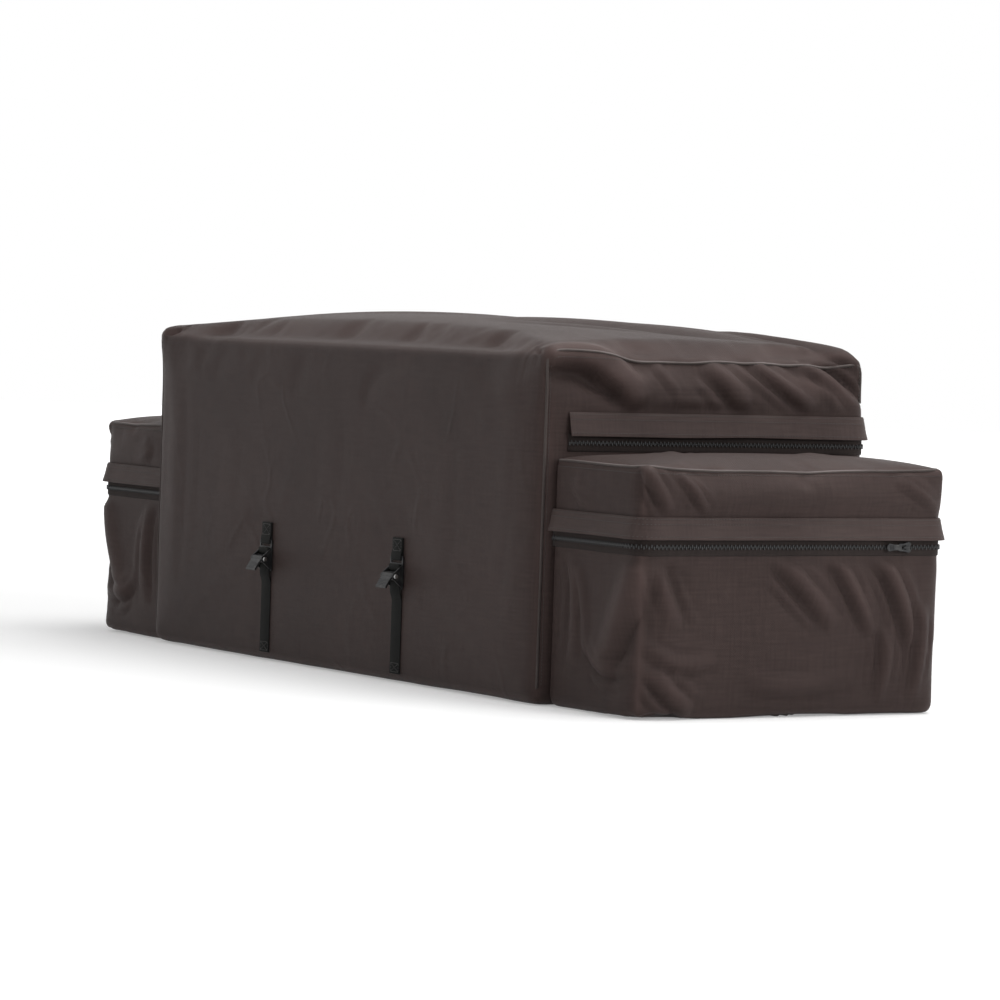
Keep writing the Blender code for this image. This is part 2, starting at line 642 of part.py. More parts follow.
def make_straps():
    tab = object_from(strip_along(tab_path(), WEBBING_HALF_WIDTH, WEBBING_THICKNESS), "tab", webbing())
    sources = {"strap_tab_": tab, "strap_": strap_mesh(), "buckle_frame_": frame_mesh(),
               "buckle_cam_": cam_mesh(), "buckle_pin_": pin_mesh()}
    at_pin = ("buckle_frame_", "buckle_cam_", "buckle_pin_")
    for face, turn in (("front", FRONT), ("back", BACK)):
        outward = Matrix.Rotation(turn, 3, "Z") @ Vector((0, -1, 0))
        for side, x in (("left", -STRAP_SPACING / 2), ("right", STRAP_SPACING / 2)):
            on_face = Vector((x, 0, BUCKLE_HEIGHT)) + outward * MAIN_DEPTH / 2
            for prefix, source in sources.items():
                at = on_face + outward * PIN_OUT if prefix in at_pin else on_face
                copy_of(source, prefix + face + "_" + side, at, turn)
    for source in sources.values():
        bpy.data.objects.remove(source, do_unlink=True)


make_main_block()
make_end_blocks()
make_zip_bands()
make_sliders()
make_straps()
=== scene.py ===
# %% [markdown]
# # A soft cargo bag, stuffed, zipped and strapped
#
# The bag is coated polyester over soft cargo: a tall middle, a low compartment at each end,
# zips under storm flaps, and tie-down straps with cam buckles. The solids give every size and
# every moving piece. This script gives the cloth its folds, seams and finish.

import math

import bmesh
import bpy
import numpy
from mathutils import Matrix, Vector, noise


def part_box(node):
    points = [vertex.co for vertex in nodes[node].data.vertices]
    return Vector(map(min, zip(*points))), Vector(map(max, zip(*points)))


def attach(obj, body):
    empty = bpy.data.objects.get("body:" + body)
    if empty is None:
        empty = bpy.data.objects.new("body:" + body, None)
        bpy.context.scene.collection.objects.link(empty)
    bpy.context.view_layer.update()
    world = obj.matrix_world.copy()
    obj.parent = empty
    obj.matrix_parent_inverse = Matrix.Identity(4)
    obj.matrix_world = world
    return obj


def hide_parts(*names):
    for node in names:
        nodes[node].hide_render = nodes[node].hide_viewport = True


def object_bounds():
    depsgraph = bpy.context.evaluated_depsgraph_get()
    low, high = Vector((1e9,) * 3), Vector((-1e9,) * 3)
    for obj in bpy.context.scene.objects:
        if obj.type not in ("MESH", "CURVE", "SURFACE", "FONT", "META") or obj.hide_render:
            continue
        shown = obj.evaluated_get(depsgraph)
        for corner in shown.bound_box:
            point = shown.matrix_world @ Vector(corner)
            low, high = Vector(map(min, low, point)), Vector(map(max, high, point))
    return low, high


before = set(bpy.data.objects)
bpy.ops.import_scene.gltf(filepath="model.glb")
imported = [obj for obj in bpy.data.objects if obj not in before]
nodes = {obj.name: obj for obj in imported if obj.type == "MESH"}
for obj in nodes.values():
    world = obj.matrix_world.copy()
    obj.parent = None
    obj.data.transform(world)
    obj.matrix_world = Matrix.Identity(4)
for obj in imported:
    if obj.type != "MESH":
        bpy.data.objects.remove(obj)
solid_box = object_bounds()
scene = bpy.context.scene
print("nodes:", len(nodes), "box:", [round(v, 4) for corner in solid_box for v in corner])

# %% [markdown]
# ## Sizes, read from the solids
#
# Nothing is typed twice. Each block's size comes from the boxes of its solids, and the zips'
# heights come from the middle of their tapes, so the cloth always fits the frame.

# %% Blocks and bands


def span(*names):
    """Lowest and highest corner over several solids."""
    boxes = [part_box(name) for name in names]
    low = Vector([min(b[0][axis] for b in boxes) for axis in range(3)])
    high = Vector([max(b[1][axis] for b in boxes) for axis in range(3)])
    return low, high


def heights_of(name):
    return [corner.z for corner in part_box(name)]


main_low, main_high = span("main_body", "main_lid")
end_low, end_high = span("end_body_right", "end_lid_right")
main_zip_z = sum(heights_of("main_zip")) / 2
end_zip_z = sum(heights_of("end_zip_right")) / 2
main_flap_z = heights_of("main_flap")
end_flap_z = heights_of("end_flap_right")
CROWN = 0.030
END_CROWN = 0.004
main_edge_z = main_high.z - CROWN
print("middle", main_low, main_high, "end", end_low, end_high)
print("zips at", round(main_zip_z, 4), round(end_zip_z, 4))

# %% [markdown]
# ## The camera
#
# The photograph was taken from beyond the bag's right end, a little above its top. The camera
# stands at the same place and keeps the same small tilt, with a longer lens aimed at the bag.

# %% Camera
EYE = Vector((5.300, -3.312, 0.500))
AIM = Vector((0.020, 0.000, 0.232))
TILT = math.radians(1.9)
LENS = 165


def add_object(name, data):
    made = bpy.data.objects.new(name, data)
    scene.collection.objects.link(made)
    return made


def look_from(eye, aim, tilt):
    """A camera matrix that looks from the eye at the aim, tilted about the view."""
    view = (aim - eye).normalized()
    side = view.cross(Vector((0, 0, 1))).normalized()
    up = side.cross(view)
    tilted_side = math.cos(tilt) * side + math.sin(tilt) * up
    tilted_up = math.cos(tilt) * up - math.sin(tilt) * side
    axes = Matrix((tilted_side, tilted_up, -view)).transposed().to_4x4()
    return Matrix.Translation(eye) @ axes


camera = add_object("camera", bpy.data.cameras.new("camera"))
camera.matrix_world = look_from(EYE, AIM, TILT)
camera.data.lens = LENS
camera.data.clip_start = 0.01
scene.camera = camera
print("camera at", EYE, "lens", LENS)

# %% [markdown]
# ## Shader helpers
#
# Every finish is procedural, so each is a small tree of nodes. These helpers add one node
# with its sockets linked or set, and name the few steps that most finishes share, so that a
# finish reads as a short recipe.

# %% Node helpers


def plug(tree, target, inputs):
    """Link or set a node's inputs."""
    for socket, value in inputs.items():
        if isinstance(value, bpy.types.NodeSocket):
            tree.links.new(value, target.inputs[socket])
        else:
            target.inputs[socket].default_value = value


def node(tree, kind, inputs=None, **settings):
    """A node with its settings made and its inputs linked or set."""
    made = tree.nodes.new(kind)
    for name, value in settings.items():
        setattr(made, name, value)
    plug(tree, made, inputs or {})
    return made


def maths(tree, operation, *values):
    return node(tree, "ShaderNodeMath", dict(enumerate(values)), operation=operation).outputs[0]


def vectors(tree, operation, *values):
    return node(tree, "ShaderNodeVectorMath", dict(enumerate(values)), operation=operation).outputs[0]


def scaled(tree, colour, by):
    return node(tree, "ShaderNodeVectorMath", {0: colour, "Scale": by}, operation="SCALE").outputs[0]


def mottle(tree, place, scale, detail, roughness=0.5):
    """A cloudy value about 0.5."""
    return node(tree, "ShaderNodeTexNoise", {
        "Vector": place, "Scale": scale, "Detail": detail, "Roughness": roughness}).outputs["Fac"]


def spread(tree, value, low, high, to_low=0.0, to_high=1.0, **settings):
    """A value carried from one range to another, and held within it."""
    return node(tree, "ShaderNodeMapRange", {
        "Value": value, "From Min": low, "From Max": high, "To Min": to_low, "To Max": to_high},
        **settings).outputs["Result"]


def blend(tree, factor, first, second):
    """Two colours mixed by a factor."""
    return node(tree, "ShaderNodeMix", {"Factor": factor, 6: first, 7: second}, data_type="RGBA").outputs[2]


def bumped(tree, height, distance, **inputs):
    return node(tree, "ShaderNodeBump", {"Height": height, "Distance": distance, **inputs}).outputs["Normal"]


def new_material(name):
    """A material, its tree, its surface shader and the place on the object."""
    made = bpy.data.materials.new(name)
    made.use_nodes = True
    tree = made.node_tree
    return made, tree, tree.nodes["Principled BSDF"], node(tree, "ShaderNodeTexCoord").outputs["Object"]


# %% [markdown]
# ## Floor, background and light
#
# A pale floor carries the shadow, and a white world shows behind it. A large soft box
# overhead lights the crown, a weaker one from the right shapes the folds of the end, and a
# faint one fills the long face, which is among the darkest in the photograph too.

# %% Floor
FLOOR_RADIUS = 14.0


def mesh_from(bm, name):
    mesh = bpy.data.meshes.new(name)
    bm.to_mesh(mesh)
    bm.free()
    return mesh


bm = bmesh.new()
bmesh.ops.create_circle(bm, cap_ends=True, segments=64, radius=FLOOR_RADIUS)
floor = add_object("floor", mesh_from(bm, "floor"))
print("floor radius", FLOOR_RADIUS)

# %% Floor finish and world
FLOOR_FADE = (1.0, 4.5)
FLOOR_LIFT = (0.30, 0.95)
WORLD_LIGHT = 0.36


def seen_directly(tree):
    """1 for what the camera sees, and for what metal mirrors."""
    path = node(tree, "ShaderNodeLightPath").outputs
    seen = maths(tree, "MAXIMUM", path["Is Camera Ray"], path["Is Glossy Ray"])
    return maths(tree, "MAXIMUM", seen, path["Is Transmission Ray"])


def pale_floor():
    """A matt floor that fades into the white world away from the bag."""
    made, tree, surface, place = new_material("pale_floor")
    far = node(tree, "ShaderNodeVectorMath", {0: place}, operation="LENGTH").outputs["Value"]
    lift = maths(tree, "MULTIPLY", seen_directly(tree), spread(tree, far, *FLOOR_FADE, *FLOOR_LIFT))
    plug(tree, surface, {
        "Base Color": (0.80, 0.80, 0.80, 1), "Roughness": 0.9, "Specular IOR Level": 0.1,
        "Emission Color": (1, 1, 1, 1), "Emission Strength": lift})
    return made


floor.data.materials.append(pale_floor())

world = bpy.data.worlds.new("studio")
scene.world = world
world.use_nodes = True
sky = world.node_tree
glow = maths(sky, "MULTIPLY_ADD", seen_directly(sky), 1.0 - WORLD_LIGHT, WORLD_LIGHT)
plug(sky, sky.nodes["Background"], {"Color": (1, 1, 1, 1), "Strength": glow})
scene.view_settings.view_transform = "Standard"


def soft_box(name, place, aim, size, watts):
    lamp = add_object(name, bpy.data.lights.new(name, "AREA"))
    lamp.data.shape = "RECTANGLE"
    lamp.data.size, lamp.data.size_y = size
    lamp.data.energy = watts
    lamp.location = place
    lamp.rotation_euler = (Vector(aim) - Vector(place)).to_track_quat("-Z", "Y").to_euler()


soft_box("overhead", (0.6, 0.5, 2.6), (0, 0, 0.3), (2.6, 2.0), 60)
soft_box("right_side", (3.2, 1.0, 1.3), (0.5, 0, 0.25), (1.4, 1.4), 34)
soft_box("front_fill", (-0.6, -4.2, 1.6), (0, 0, 0.2), (3.0, 2.0), 14)

# %% [markdown]
# ## Woven and coated effects
#
# Three effects serve every fabric here, each as a node group. The weave is two sets of
# threads that pass over and under each other. The crumple is the soft creasing that coated
# cloth keeps after it was folded. The dust is a pale film that settles on upward cloth; on the
# piping the same film, paler and thicker, is a painted highlight along its top.

# %% Weave group
FLOAT, VECTOR = "NodeSocketFloat", "NodeSocketVector"
SLUB_FINE, SLUB_LONG = 330.0, 22.0


def group(name, inputs, outputs):
    """An empty node group, its given inputs' sockets and its result node."""
    made = bpy.data.node_groups.new(name, "ShaderNodeTree")
    for socket, kind, value in inputs:
        item = made.interface.new_socket(name=socket, in_out="INPUT", socket_type=kind)
        if value is not None:
            item.default_value = value
    for socket in outputs:
        made.interface.new_socket(name=socket, in_out="OUTPUT", socket_type=FLOAT)
    return made, made.nodes.new("NodeGroupInput").outputs, made.nodes.new("NodeGroupOutput")


def woven_threads():
    """Height of a plain weave, and streaks of uneven threads; Vector is in metres of cloth."""
    made, given, result = group(
        "woven_threads", [("Vector", VECTOR, None), ("Threads per metre", FLOAT, 1600.0)],
        ["Height", "Streaks"])
    split = node(made, "ShaderNodeSeparateXYZ", {0: given["Vector"]}).outputs
    half_turns = maths(made, "MULTIPLY", given["Threads per metre"], math.pi)
    across, along = [maths(made, "SINE", maths(made, "MULTIPLY", split[axis], half_turns)) for axis in "XY"]
    lifted = maths(made, "GREATER_THAN", maths(made, "MULTIPLY", across, along), 0.0)
    weft = maths(made, "MULTIPLY", maths(made, "ABSOLUTE", across), lifted)
    warp = maths(made, "MULTIPLY", maths(made, "ABSOLUTE", along), maths(made, "SUBTRACT", 1.0, lifted))
    streaks = []
    for stretch in ((SLUB_FINE, SLUB_LONG, 1.0), (SLUB_LONG, SLUB_FINE, 1.0)):
        streaks.append(mottle(made, vectors(made, "MULTIPLY", given["Vector"], stretch), 1.0, 2.0))
    plug(made, result, {
        "Height": maths(made, "ADD", weft, warp),
        "Streaks": maths(made, "MULTIPLY", maths(made, "ADD", *streaks), 0.5)})
    return made


# %% Crumple group, and the group for dust and painted highlight


def soft_crumple():
    """Height of creases, broad and soft with a few thin sharp ones; Vector is on the object."""
    made, given, result = group(
        "soft_crumple", [("Vector", VECTOR, None), ("Creases per metre", FLOAT, 9.0)], ["Height"])
    place = given["Vector"]
    drift = node(made, "ShaderNodeTexNoise", {"Vector": place, "Scale": 5.0, "Detail": 2.0})
    pushed = vectors(made, "MULTIPLY", drift.outputs["Color"], (0.16, 0.16, 0.16))
    bent = vectors(made, "ADD", place, pushed)
    swells = mottle(made, bent, 14.0, 3.0)
    cells = node(made, "ShaderNodeTexVoronoi", {
        "Vector": bent, "Scale": given["Creases per metre"]}, feature="DISTANCE_TO_EDGE")
    near = spread(made, cells.outputs["Distance"], 0.0, 0.10, 1.0, 0.0, interpolation_type="SMOOTHSTEP")
    shown = spread(made, mottle(made, place, 8.0, 1.0), 0.46, 0.66)
    creases = maths(made, "MULTIPLY", near, shown)
    plug(made, result, {"Height": maths(made, "MULTIPLY_ADD", creases, 0.55, swells)})
    return made


def dust_and_top_highlight():
    """Mask of pale dust, on cloth that faces up and in blotches; on the piping it is a painted highlight
    along the top. Vector is on the object.
    """
    made, given, result = group(
        "dust_and_top_highlight", [("Vector", VECTOR, None), ("Amount", FLOAT, 0.5)], ["Mask"])
    facing = node(made, "ShaderNodeNewGeometry").outputs["Normal"]
    up = node(made, "ShaderNodeSeparateXYZ", {0: facing}).outputs["Z"]
    upward = maths(made, "MULTIPLY", maths(made, "MAXIMUM", up, 0.0), 0.8)
    patch = spread(made, mottle(made, given["Vector"], 7.0, 4.0, 0.6), 0.35, 0.75, 0.1, 1.0)
    total = maths(made, "MULTIPLY", maths(made, "ADD", upward, 0.25), patch)
    plug(made, result, {"Mask": maths(made, "MULTIPLY", total, given["Amount"])})
    return made


WEAVE, CRUMPLE, DUST_AND_HIGHLIGHT = woven_threads(), soft_crumple(), dust_and_top_highlight()
print("effects:", WEAVE.name, CRUMPLE.name, DUST_AND_HIGHLIGHT.name)

# %% [markdown]
# ## Coated polyester
#
# The shell is a tight weave under a thin coating: near black with a warm cast, semi-matt,
# with a soft sheen where it turns away. The weave's bump is fine, and the crumple's is
# broader, so that the long face isn't perfectly even. Two values stored on the skins, rub
# and hollow, let the coating look handled on ridges and edges, and paint shade down in the folds.

# %% Fabric material
RUBBED_PALER = 2.4


def fabric(name, colour, dust_and_highlight_colour, threads, weave_depth, crumple_depth, roughness, sheen, dust):
    made, tree, surface, place = new_material(name)
    cloth_uv = node(tree, "ShaderNodeUVMap", uv_map="cloth").outputs["UV"]
    weave = node(tree, "ShaderNodeGroup", {"Vector": cloth_uv, "Threads per metre": threads}, node_tree=WEAVE)
    crumple = node(tree, "ShaderNodeGroup", {"Vector": place}, node_tree=CRUMPLE).outputs["Height"]
    # the film is dust, and on the piping a painted highlight along its upward side
    film = node(tree, "ShaderNodeGroup", {"Vector": place, "Amount": dust}, node_tree=DUST_AND_HIGHLIGHT).outputs["Mask"]
    tint = mottle(tree, place, 3.5, 3.0)
    shade = spread(tree, tint, 0.3, 0.7, 0.85, 1.12)
    rub, hollow = [node(tree, "ShaderNodeAttribute", attribute_name=stored).outputs["Fac"]
                   for stored in ("rub", "hollow")]
    thread_shade = maths(tree, "MULTIPLY_ADD", weave.outputs["Height"], 0.25, 0.86)
    uneven = spread(tree, weave.outputs["Streaks"], 0.35, 0.65, 0.84, 1.16)
    # painted shade: the colour is darkened by up to 22% down in the folds' hollows
    painted_fold_shade = maths(tree, "MULTIPLY_ADD", hollow, -0.22, 1.0)
    tone = maths(tree, "MULTIPLY", maths(tree, "MULTIPLY", shade, thread_shade),
                 maths(tree, "MULTIPLY", uneven, painted_fold_shade))
    worn = (*[RUBBED_PALER * channel for channel in colour], 1)
    rubbed = blend(tree, maths(tree, "MULTIPLY", rub, tint), scaled(tree, colour, tone), worn)
    dull = maths(tree, "MULTIPLY_ADD", film, 0.25, roughness)
    rough = maths(tree, "MULTIPLY_ADD", uneven, 0.10, maths(tree, "SUBTRACT", dull, 0.10))
    broad = bumped(tree, crumple, crumple_depth)
    plug(tree, surface, {
        "Base Color": blend(tree, film, rubbed, (*dust_and_highlight_colour, 1)), "Roughness": rough,
        "Sheen Weight": sheen, "Sheen Roughness": 0.45, "Specular IOR Level": 0.08,
        "Normal": bumped(tree, weave.outputs["Height"], weave_depth, Strength=0.7, Normal=broad)})
    return made


# Colour, dust colour (on the piping, a painted highlight), threads per metre, depths of weave and crumple,
# roughness, sheen, dust
FABRICS = {
    "coated_polyester": (
        (0.046, 0.031, 0.0285), (0.080, 0.066, 0.060), 720, 0.00030, 0.0010, 0.44, 0.02, 0.22),
    # the flap is the shell's own cloth: its paler colour is a painted highlight where its lean catches the
    # light, and its thicker, paler dust is part dust, part painted highlight
    "storm_flap_cloth": (
        (0.060, 0.042, 0.039), (0.100, 0.083, 0.076), 720, 0.00030, 0.0006, 0.44, 0.02, 0.40),
    # on the piping the pale, thick dust on its upward side is a painted highlight along its top edge
    "seam_piping": (
        (0.046, 0.036, 0.033), (0.30, 0.26, 0.25), 1100, 0.00015, 0.0003, 0.38, 0.05, 0.75),
    "zip_tape_cloth": (
        (0.028, 0.0215, 0.0200), (0.08, 0.07, 0.065), 1300, 0.00012, 0.0002, 0.74, 0.04, 0.15),
}
SHELL, FLAP_CLOTH_PAINTED_LIT, PIPING_WITH_PAINTED_HIGHLIGHT, TAPE = [fabric(name, *values) for name, values in FABRICS.items()]
print("fabrics:", SHELL.name, FLAP_CLOTH_PAINTED_LIT.name, PIPING_WITH_PAINTED_HIGHLIGHT.name, TAPE.name)

# %% [markdown]
# ## Cloth coordinates
#
# A weave has to follow the cloth, so every fabric piece carries a UV map in metres. Each
# face takes the two directions that it faces least, before any fold moves it.

# %% Cloth UV and piece helpers
SHARP_ANGLE = math.radians(50)


def lay_cloth_uv(bm):
    layer = bm.loops.layers.uv.get("cloth") or bm.loops.layers.uv.new("cloth")
    bm.normal_update()
    for face in bm.faces:
        away = max(range(3), key=lambda axis: abs(face.normal[axis]))
        across, along = [(1, 2), (0, 2), (0, 1)][away]
        for loop in face.loops:
            loop[layer].uv = (loop.vert.co[across], loop.vert.co[along])


def piece_from(bm, name, look, smooth=True, sharp=True):
    """Turn a bmesh into a shaded piece that rides on the bag."""
    mesh = mesh_from(bm, name)
    mesh.materials.append(look)
    if smooth:
        mesh.shade_smooth()
    if sharp:
        mesh.set_sharp_from_angle(angle=SHARP_ANGLE)
    made = add_object(name, mesh)
    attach(made, "bag")
    return made


def finished(piece):
    """A piece as its modifiers leave it."""
    return piece.evaluated_get(bpy.context.evaluated_depsgraph_get())


def ramp(start, end, value):
    """0 before start, 1 after end, eased between them."""
    share = min(max((value - start) / (end - start), 0.0), 1.0)
    return share * share * (3 - 2 * share)


# %% [markdown]
# ## The stuffed blocks
#
# Each block starts as a cube, cut into small squares so that cloth can fold anywhere. Its
# edges are then rounded, tighter along the top where a seam runs, and the lid is domed over
# the cargo. A short cloth simulation with pressure gives it natural puckers. The folds that
# the photograph shows are pressed in last, so that they stay crisp.

# %% Block of small squares
CRISP_TOP = 0.55
CRISP_FROM, CRISP_FULL = 0.065, 0.015


def cut_block(low, high, spacing):
    bm = bmesh.new()
    bmesh.ops.create_cube(bm, size=1.0)
    size = high - low
    bmesh.ops.scale(bm, vec=size, verts=bm.verts)
    bmesh.ops.translate(bm, vec=(low + high) / 2, verts=bm.verts)
    for axis in range(3):
        cuts = round(size[axis] / spacing)
        normal = Vector([float(index == axis) for index in range(3)])
        for step in range(1, cuts):
            at = low + normal * size[axis] * step / cuts
            everything = bm.verts[:] + bm.edges[:] + bm.faces[:]
            bmesh.ops.bisect_plane(bm, geom=everything, plane_co=at, plane_no=normal)
    return bm


def round_edges(bm, low, high, widest, square_side=0):
    """Round the edges by a radius per axis; square_side is an x side that keeps sharp edges."""
    for vert in bm.verts:
        crisp = 1 - CRISP_TOP * ramp(high.z - CRISP_FROM, high.z - CRISP_FULL, vert.co.z)
        radii = (widest[0] * crisp, widest[1] * crisp, widest[2])
        inner = Vector([min(max(vert.co[a], low[a] + radii[a]), high[a] - radii[a]) for a in range(3)])
        if square_side > 0:
            inner.x = max(inner.x, vert.co.x)
        if square_side < 0:
            inner.x = min(inner.x, vert.co.x)
        away = Vector([(vert.co[a] - inner[a]) / radii[a] for a in range(3)])
        if away.length > 1:
            away.normalize()
            vert.co = inner + Vector([away[a] * radii[a] for a in range(3)])


def dome(bm, low, high, start, rise, power=(3.0, 3.0)):
    """Raise the top over the cargo, most in the middle."""
    centre, half = (low + high) / 2, (high - low) / 2
    for vert in bm.verts:
        if vert.co.z > start:
            across = 1 - abs((vert.co.x - centre.x) / half.x) ** power[0]
            along = 1 - abs((vert.co.y - centre.y) / half.y) ** power[1]
            lift = rise * max(across, 0.0) * max(along, 0.0)
            vert.co.z += lift * ramp(start, high.z, vert.co.z)


def unevenness(bm, amount):
    """Slow swells where soft cargo presses from inside."""
    for vert in bm.verts:
        swell = noise.noise(vert.co * 5.0) + 0.4 * noise.noise(vert.co * 12.0 + Vector((3, 1, 7)))
        vert.co += vert.normal * amount * swell


# %% [markdown]
# ## Settling the cloth
#
# Pressure pushes the shell out against its cargo, and a little spare cloth lets it pucker at
# corners and seams. Sewn lines, the base and what lies behind a strap are held. Afterwards
# each point's move is capped, so that the skin stays in the space of its solid.

# %% Cloth simulation
OUTWARD_CAP = 0.008
INWARD_CAP = 0.014
LEAST_INWARD = 0.2
LEAST_SIDEWAYS = 0.3
CLOTH = {
    "quality": 5, "mass": 0.02, "tension_stiffness": 25, "compression_stiffness": 25,
    "shear_stiffness": 8, "bending_stiffness": 0.9, "air_damping": 2, "use_pressure": True,
    "vertex_group_mass": "held", "vertex_group_shrink": "loose", "shrink_min": 0.0, "shrink_max": -0.10,
}


def settle(skin, hold, spare, pressure, frames):
    """Run a short cloth simulation, and return the moved points."""
    held = skin.vertex_groups.new(name="held")
    loose = skin.vertex_groups.new(name="loose")
    for vert in skin.data.vertices:
        held.add([vert.index], hold(vert.co), "REPLACE")
        loose.add([vert.index], spare(vert.co), "REPLACE")
    cloth = skin.modifiers.new("cloth", "CLOTH")
    for name, value in CLOTH.items():
        setattr(cloth.settings, name, value)
    cloth.settings.uniform_pressure_force = pressure
    cloth.settings.effector_weights.gravity = 0.0
    cloth.point_cache.frame_start = 1
    cloth.point_cache.frame_end = frames
    for step in range(1, frames + 1):
        scene.frame_set(step)
    places = [vert.co.copy() for vert in finished(skin).data.vertices]
    skin.modifiers.remove(cloth)
    skin.vertex_groups.clear()
    scene.frame_set(1)
    return places


def keep_moves(skin, start, places, freedom):
    """Put each point at its settled place, with its move from the smooth start capped."""
    largest = 0.0
    for vert, smooth, place in zip(skin.data.vertices, start.vertices, places):
        move = place - smooth.co
        out = move.dot(smooth.normal)
        free = freedom(smooth.co)
        kept = min(max(out, -INWARD_CAP), OUTWARD_CAP)
        kept = min(kept, 0.0) * max(free, LEAST_INWARD) + max(kept, 0.0) * free
        move = (move - smooth.normal * out) * max(free, LEAST_SIDEWAYS) + smooth.normal * kept
        vert.co = smooth.co + move
        vert.co.z = max(vert.co.z, 0.0)
        largest = max(largest, move.length)
    skin.data.update()
    print(skin.name, "points", len(skin.data.vertices), "largest move mm", round(largest * 1000, 1))


def refine(skin):
    """Divide every square in four, smoothly, so that a fold can be crisp."""
    finer = skin.modifiers.new("finer", "SUBSURF")
    finer.levels = finer.render_levels = 1
    divided = bpy.data.meshes.new_from_object(finished(skin))
    skin.modifiers.remove(finer)
    skin.data = divided


def relax(skin, start, hold, spare, pressure, frames, freedom):
    places = [vert.co.copy() for vert in skin.data.vertices]
    places = settle(skin, hold, spare, pressure, frames)
    keep_moves(skin, start, places, freedom)
    refine(skin)


# %% Where the cloth is free
STRAP_X = [sum(corner.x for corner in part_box("strap_front_" + side)) / 2 for side in ("left", "right")]
STRAP_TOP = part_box("strap_tab_front_left")[1].z
STRAP_HALF = 0.0125
WALL_DEPTH = 0.025
BELOW_ZIP = 0.012
BAND_MARGIN = 0.018


def away_from_band(z, zip_z, flap_z):
    """0 from below the zip to the flap's top, rising to 1 a margin away from them."""
    bottom, top = zip_z - BELOW_ZIP, flap_z[1] - 0.002
    below = ramp(bottom, bottom - BAND_MARGIN, z) if z < bottom else 0.0
    above = ramp(top, top + BAND_MARGIN, z) if z > top else 0.0
    return max(below, above)


def under_strap(co):
    """1 where a strap or its tab lies over the long faces."""
    if abs(co.y) < main_high.y - WALL_DEPTH or co.z > STRAP_TOP + 0.006:
        return 0.0
    nearest = min(abs(co.x - x) for x in STRAP_X)
    return 1.0 - ramp(STRAP_HALF + 0.002, STRAP_HALF + 0.030, nearest)


def main_freedom(co):
    """1 where the middle's cloth may move, 0 where it is sewn or covered, less on the taut front."""
    on_sewn_wall = abs(co.x) > main_high.x - WALL_DEPTH or co.y > main_high.y - WALL_DEPTH
    seamed = co.y > -main_high.y + 0.030 and on_sewn_wall
    free = away_from_band(co.z, main_zip_z, main_flap_z) if seamed else 1.0
    covered = abs(co.x) > main_high.x - 0.004 and co.z < end_high.z + 0.004
    taut = 1.0 - ramp(0.003, 0.012, co.y + main_high.y)
    return 0.0 if covered else min(free, 1.0 - under_strap(co)) * (1.0 - 0.6 * taut)


def end_freedom(co):
    inner = abs(co.x) < main_high.x + 0.004
    return 0.0 if inner else away_from_band(co.z, end_zip_z, end_flap_z)


# %% [markdown]
# ## Pressing folds in
#
# A fold in stuffed cloth is a soft ridge with a narrower hollow beside it, on the side that
# the cloth was pulled from. Each fold here is a bow through three places, with a width, a
# height and the direction of its hollow. It fades at both ends, and under a sewn band.

# %% Fold helpers
RIDGE_LIMIT = 0.012
HOLLOW_LIMIT = 0.020
DOWN, FORE, AFT = (0, 0, -1), (0, -1, 0), (0, 1, 0)
LEFTWARD, RIGHTWARD = (-1, 0, 0), (1, 0, 0)


def on_wall(x, rows, strength=1.0):
    """Folds on a wall that faces along x; a row's three places are (y, z)."""
    return [((x, *start), (x, *middle), (x, *end), width, height * strength, hollow_side)
            for start, middle, end, width, height, hollow_side in rows]


def on_face(y, rows, sign=1):
    """Folds on a wall that faces along y; a row's three places are (x, z), with x mirrored by sign."""
    return [(*[(sign * x, y, z) for x, z in (start, middle, end)], width, height, hollow_side)
            for start, middle, end, width, height, hollow_side in rows]


def bowed(start, middle, end, steps=14):
    """Points on a smooth bow from start to end by way of middle."""
    start, middle, end = Vector(start), Vector(middle), Vector(end)
    handle = 2 * middle - (start + end) / 2
    shares = [step / steps for step in range(steps + 1)]
    return [(1 - t) ** 2 * start + 2 * t * (1 - t) * handle + t * t * end for t in shares]


def with_side_creases(folds):
    """Add two thinner creases beside each fold, shifted, shortened and wavering."""
    made = []
    for index, (start, middle, end, width, height, hollow_side) in enumerate(folds):
        start, middle, end = Vector(start), Vector(middle), Vector(end)
        made.append((start, middle, end, width, height, hollow_side))
        across = Vector(hollow_side).normalized()
        for step, shift in enumerate((2.1, -1.9)):
            waver = noise.noise(Vector((index * 1.7, step * 3.1, 0.5)))
            cut = 0.25 + 0.2 * abs(waver)
            first = start.lerp(middle, cut) + across * width * (shift + waver)
            last = end.lerp(middle, 0.5 * cut) + across * width * (shift - 0.5 * waver)
            through = middle + across * width * (shift + 0.6 * waver)
            made.append((first, through, last, width * 0.55, height * (0.32 + 0.2 * waver), hollow_side))
    return made


def mark_wear_and_fold_shade(skin, normals, total):
    """Store how rubbed and how sunken each point is, for the finish to read: rub as wear, sunken as painted
    shade in the folds.
    """
    flatness = abs(normals).max(axis=1)
    edge = numpy.clip((0.97 - flatness) / 0.25, 0, 1)
    ridge = numpy.clip(total / RIDGE_LIMIT, 0, 1)
    hollow = numpy.clip(-total / RIDGE_LIMIT, 0, 1)
    for name, values in (("rub", numpy.clip(0.8 * edge + 0.5 * ridge, 0, 1)), ("hollow", hollow)):
        stored = skin.data.attributes.new(name, "FLOAT", "POINT")
        stored.data.foreach_set("value", values.astype(numpy.float32))


def fold_profile(across, width):
    """Height of a fold across its line: a ridge, then a sharper hollow."""
    ridge = numpy.exp(-(across / width) ** 2)
    return ridge - 0.95 * numpy.exp(-abs(across - 1.35 * width) / (0.55 * width))


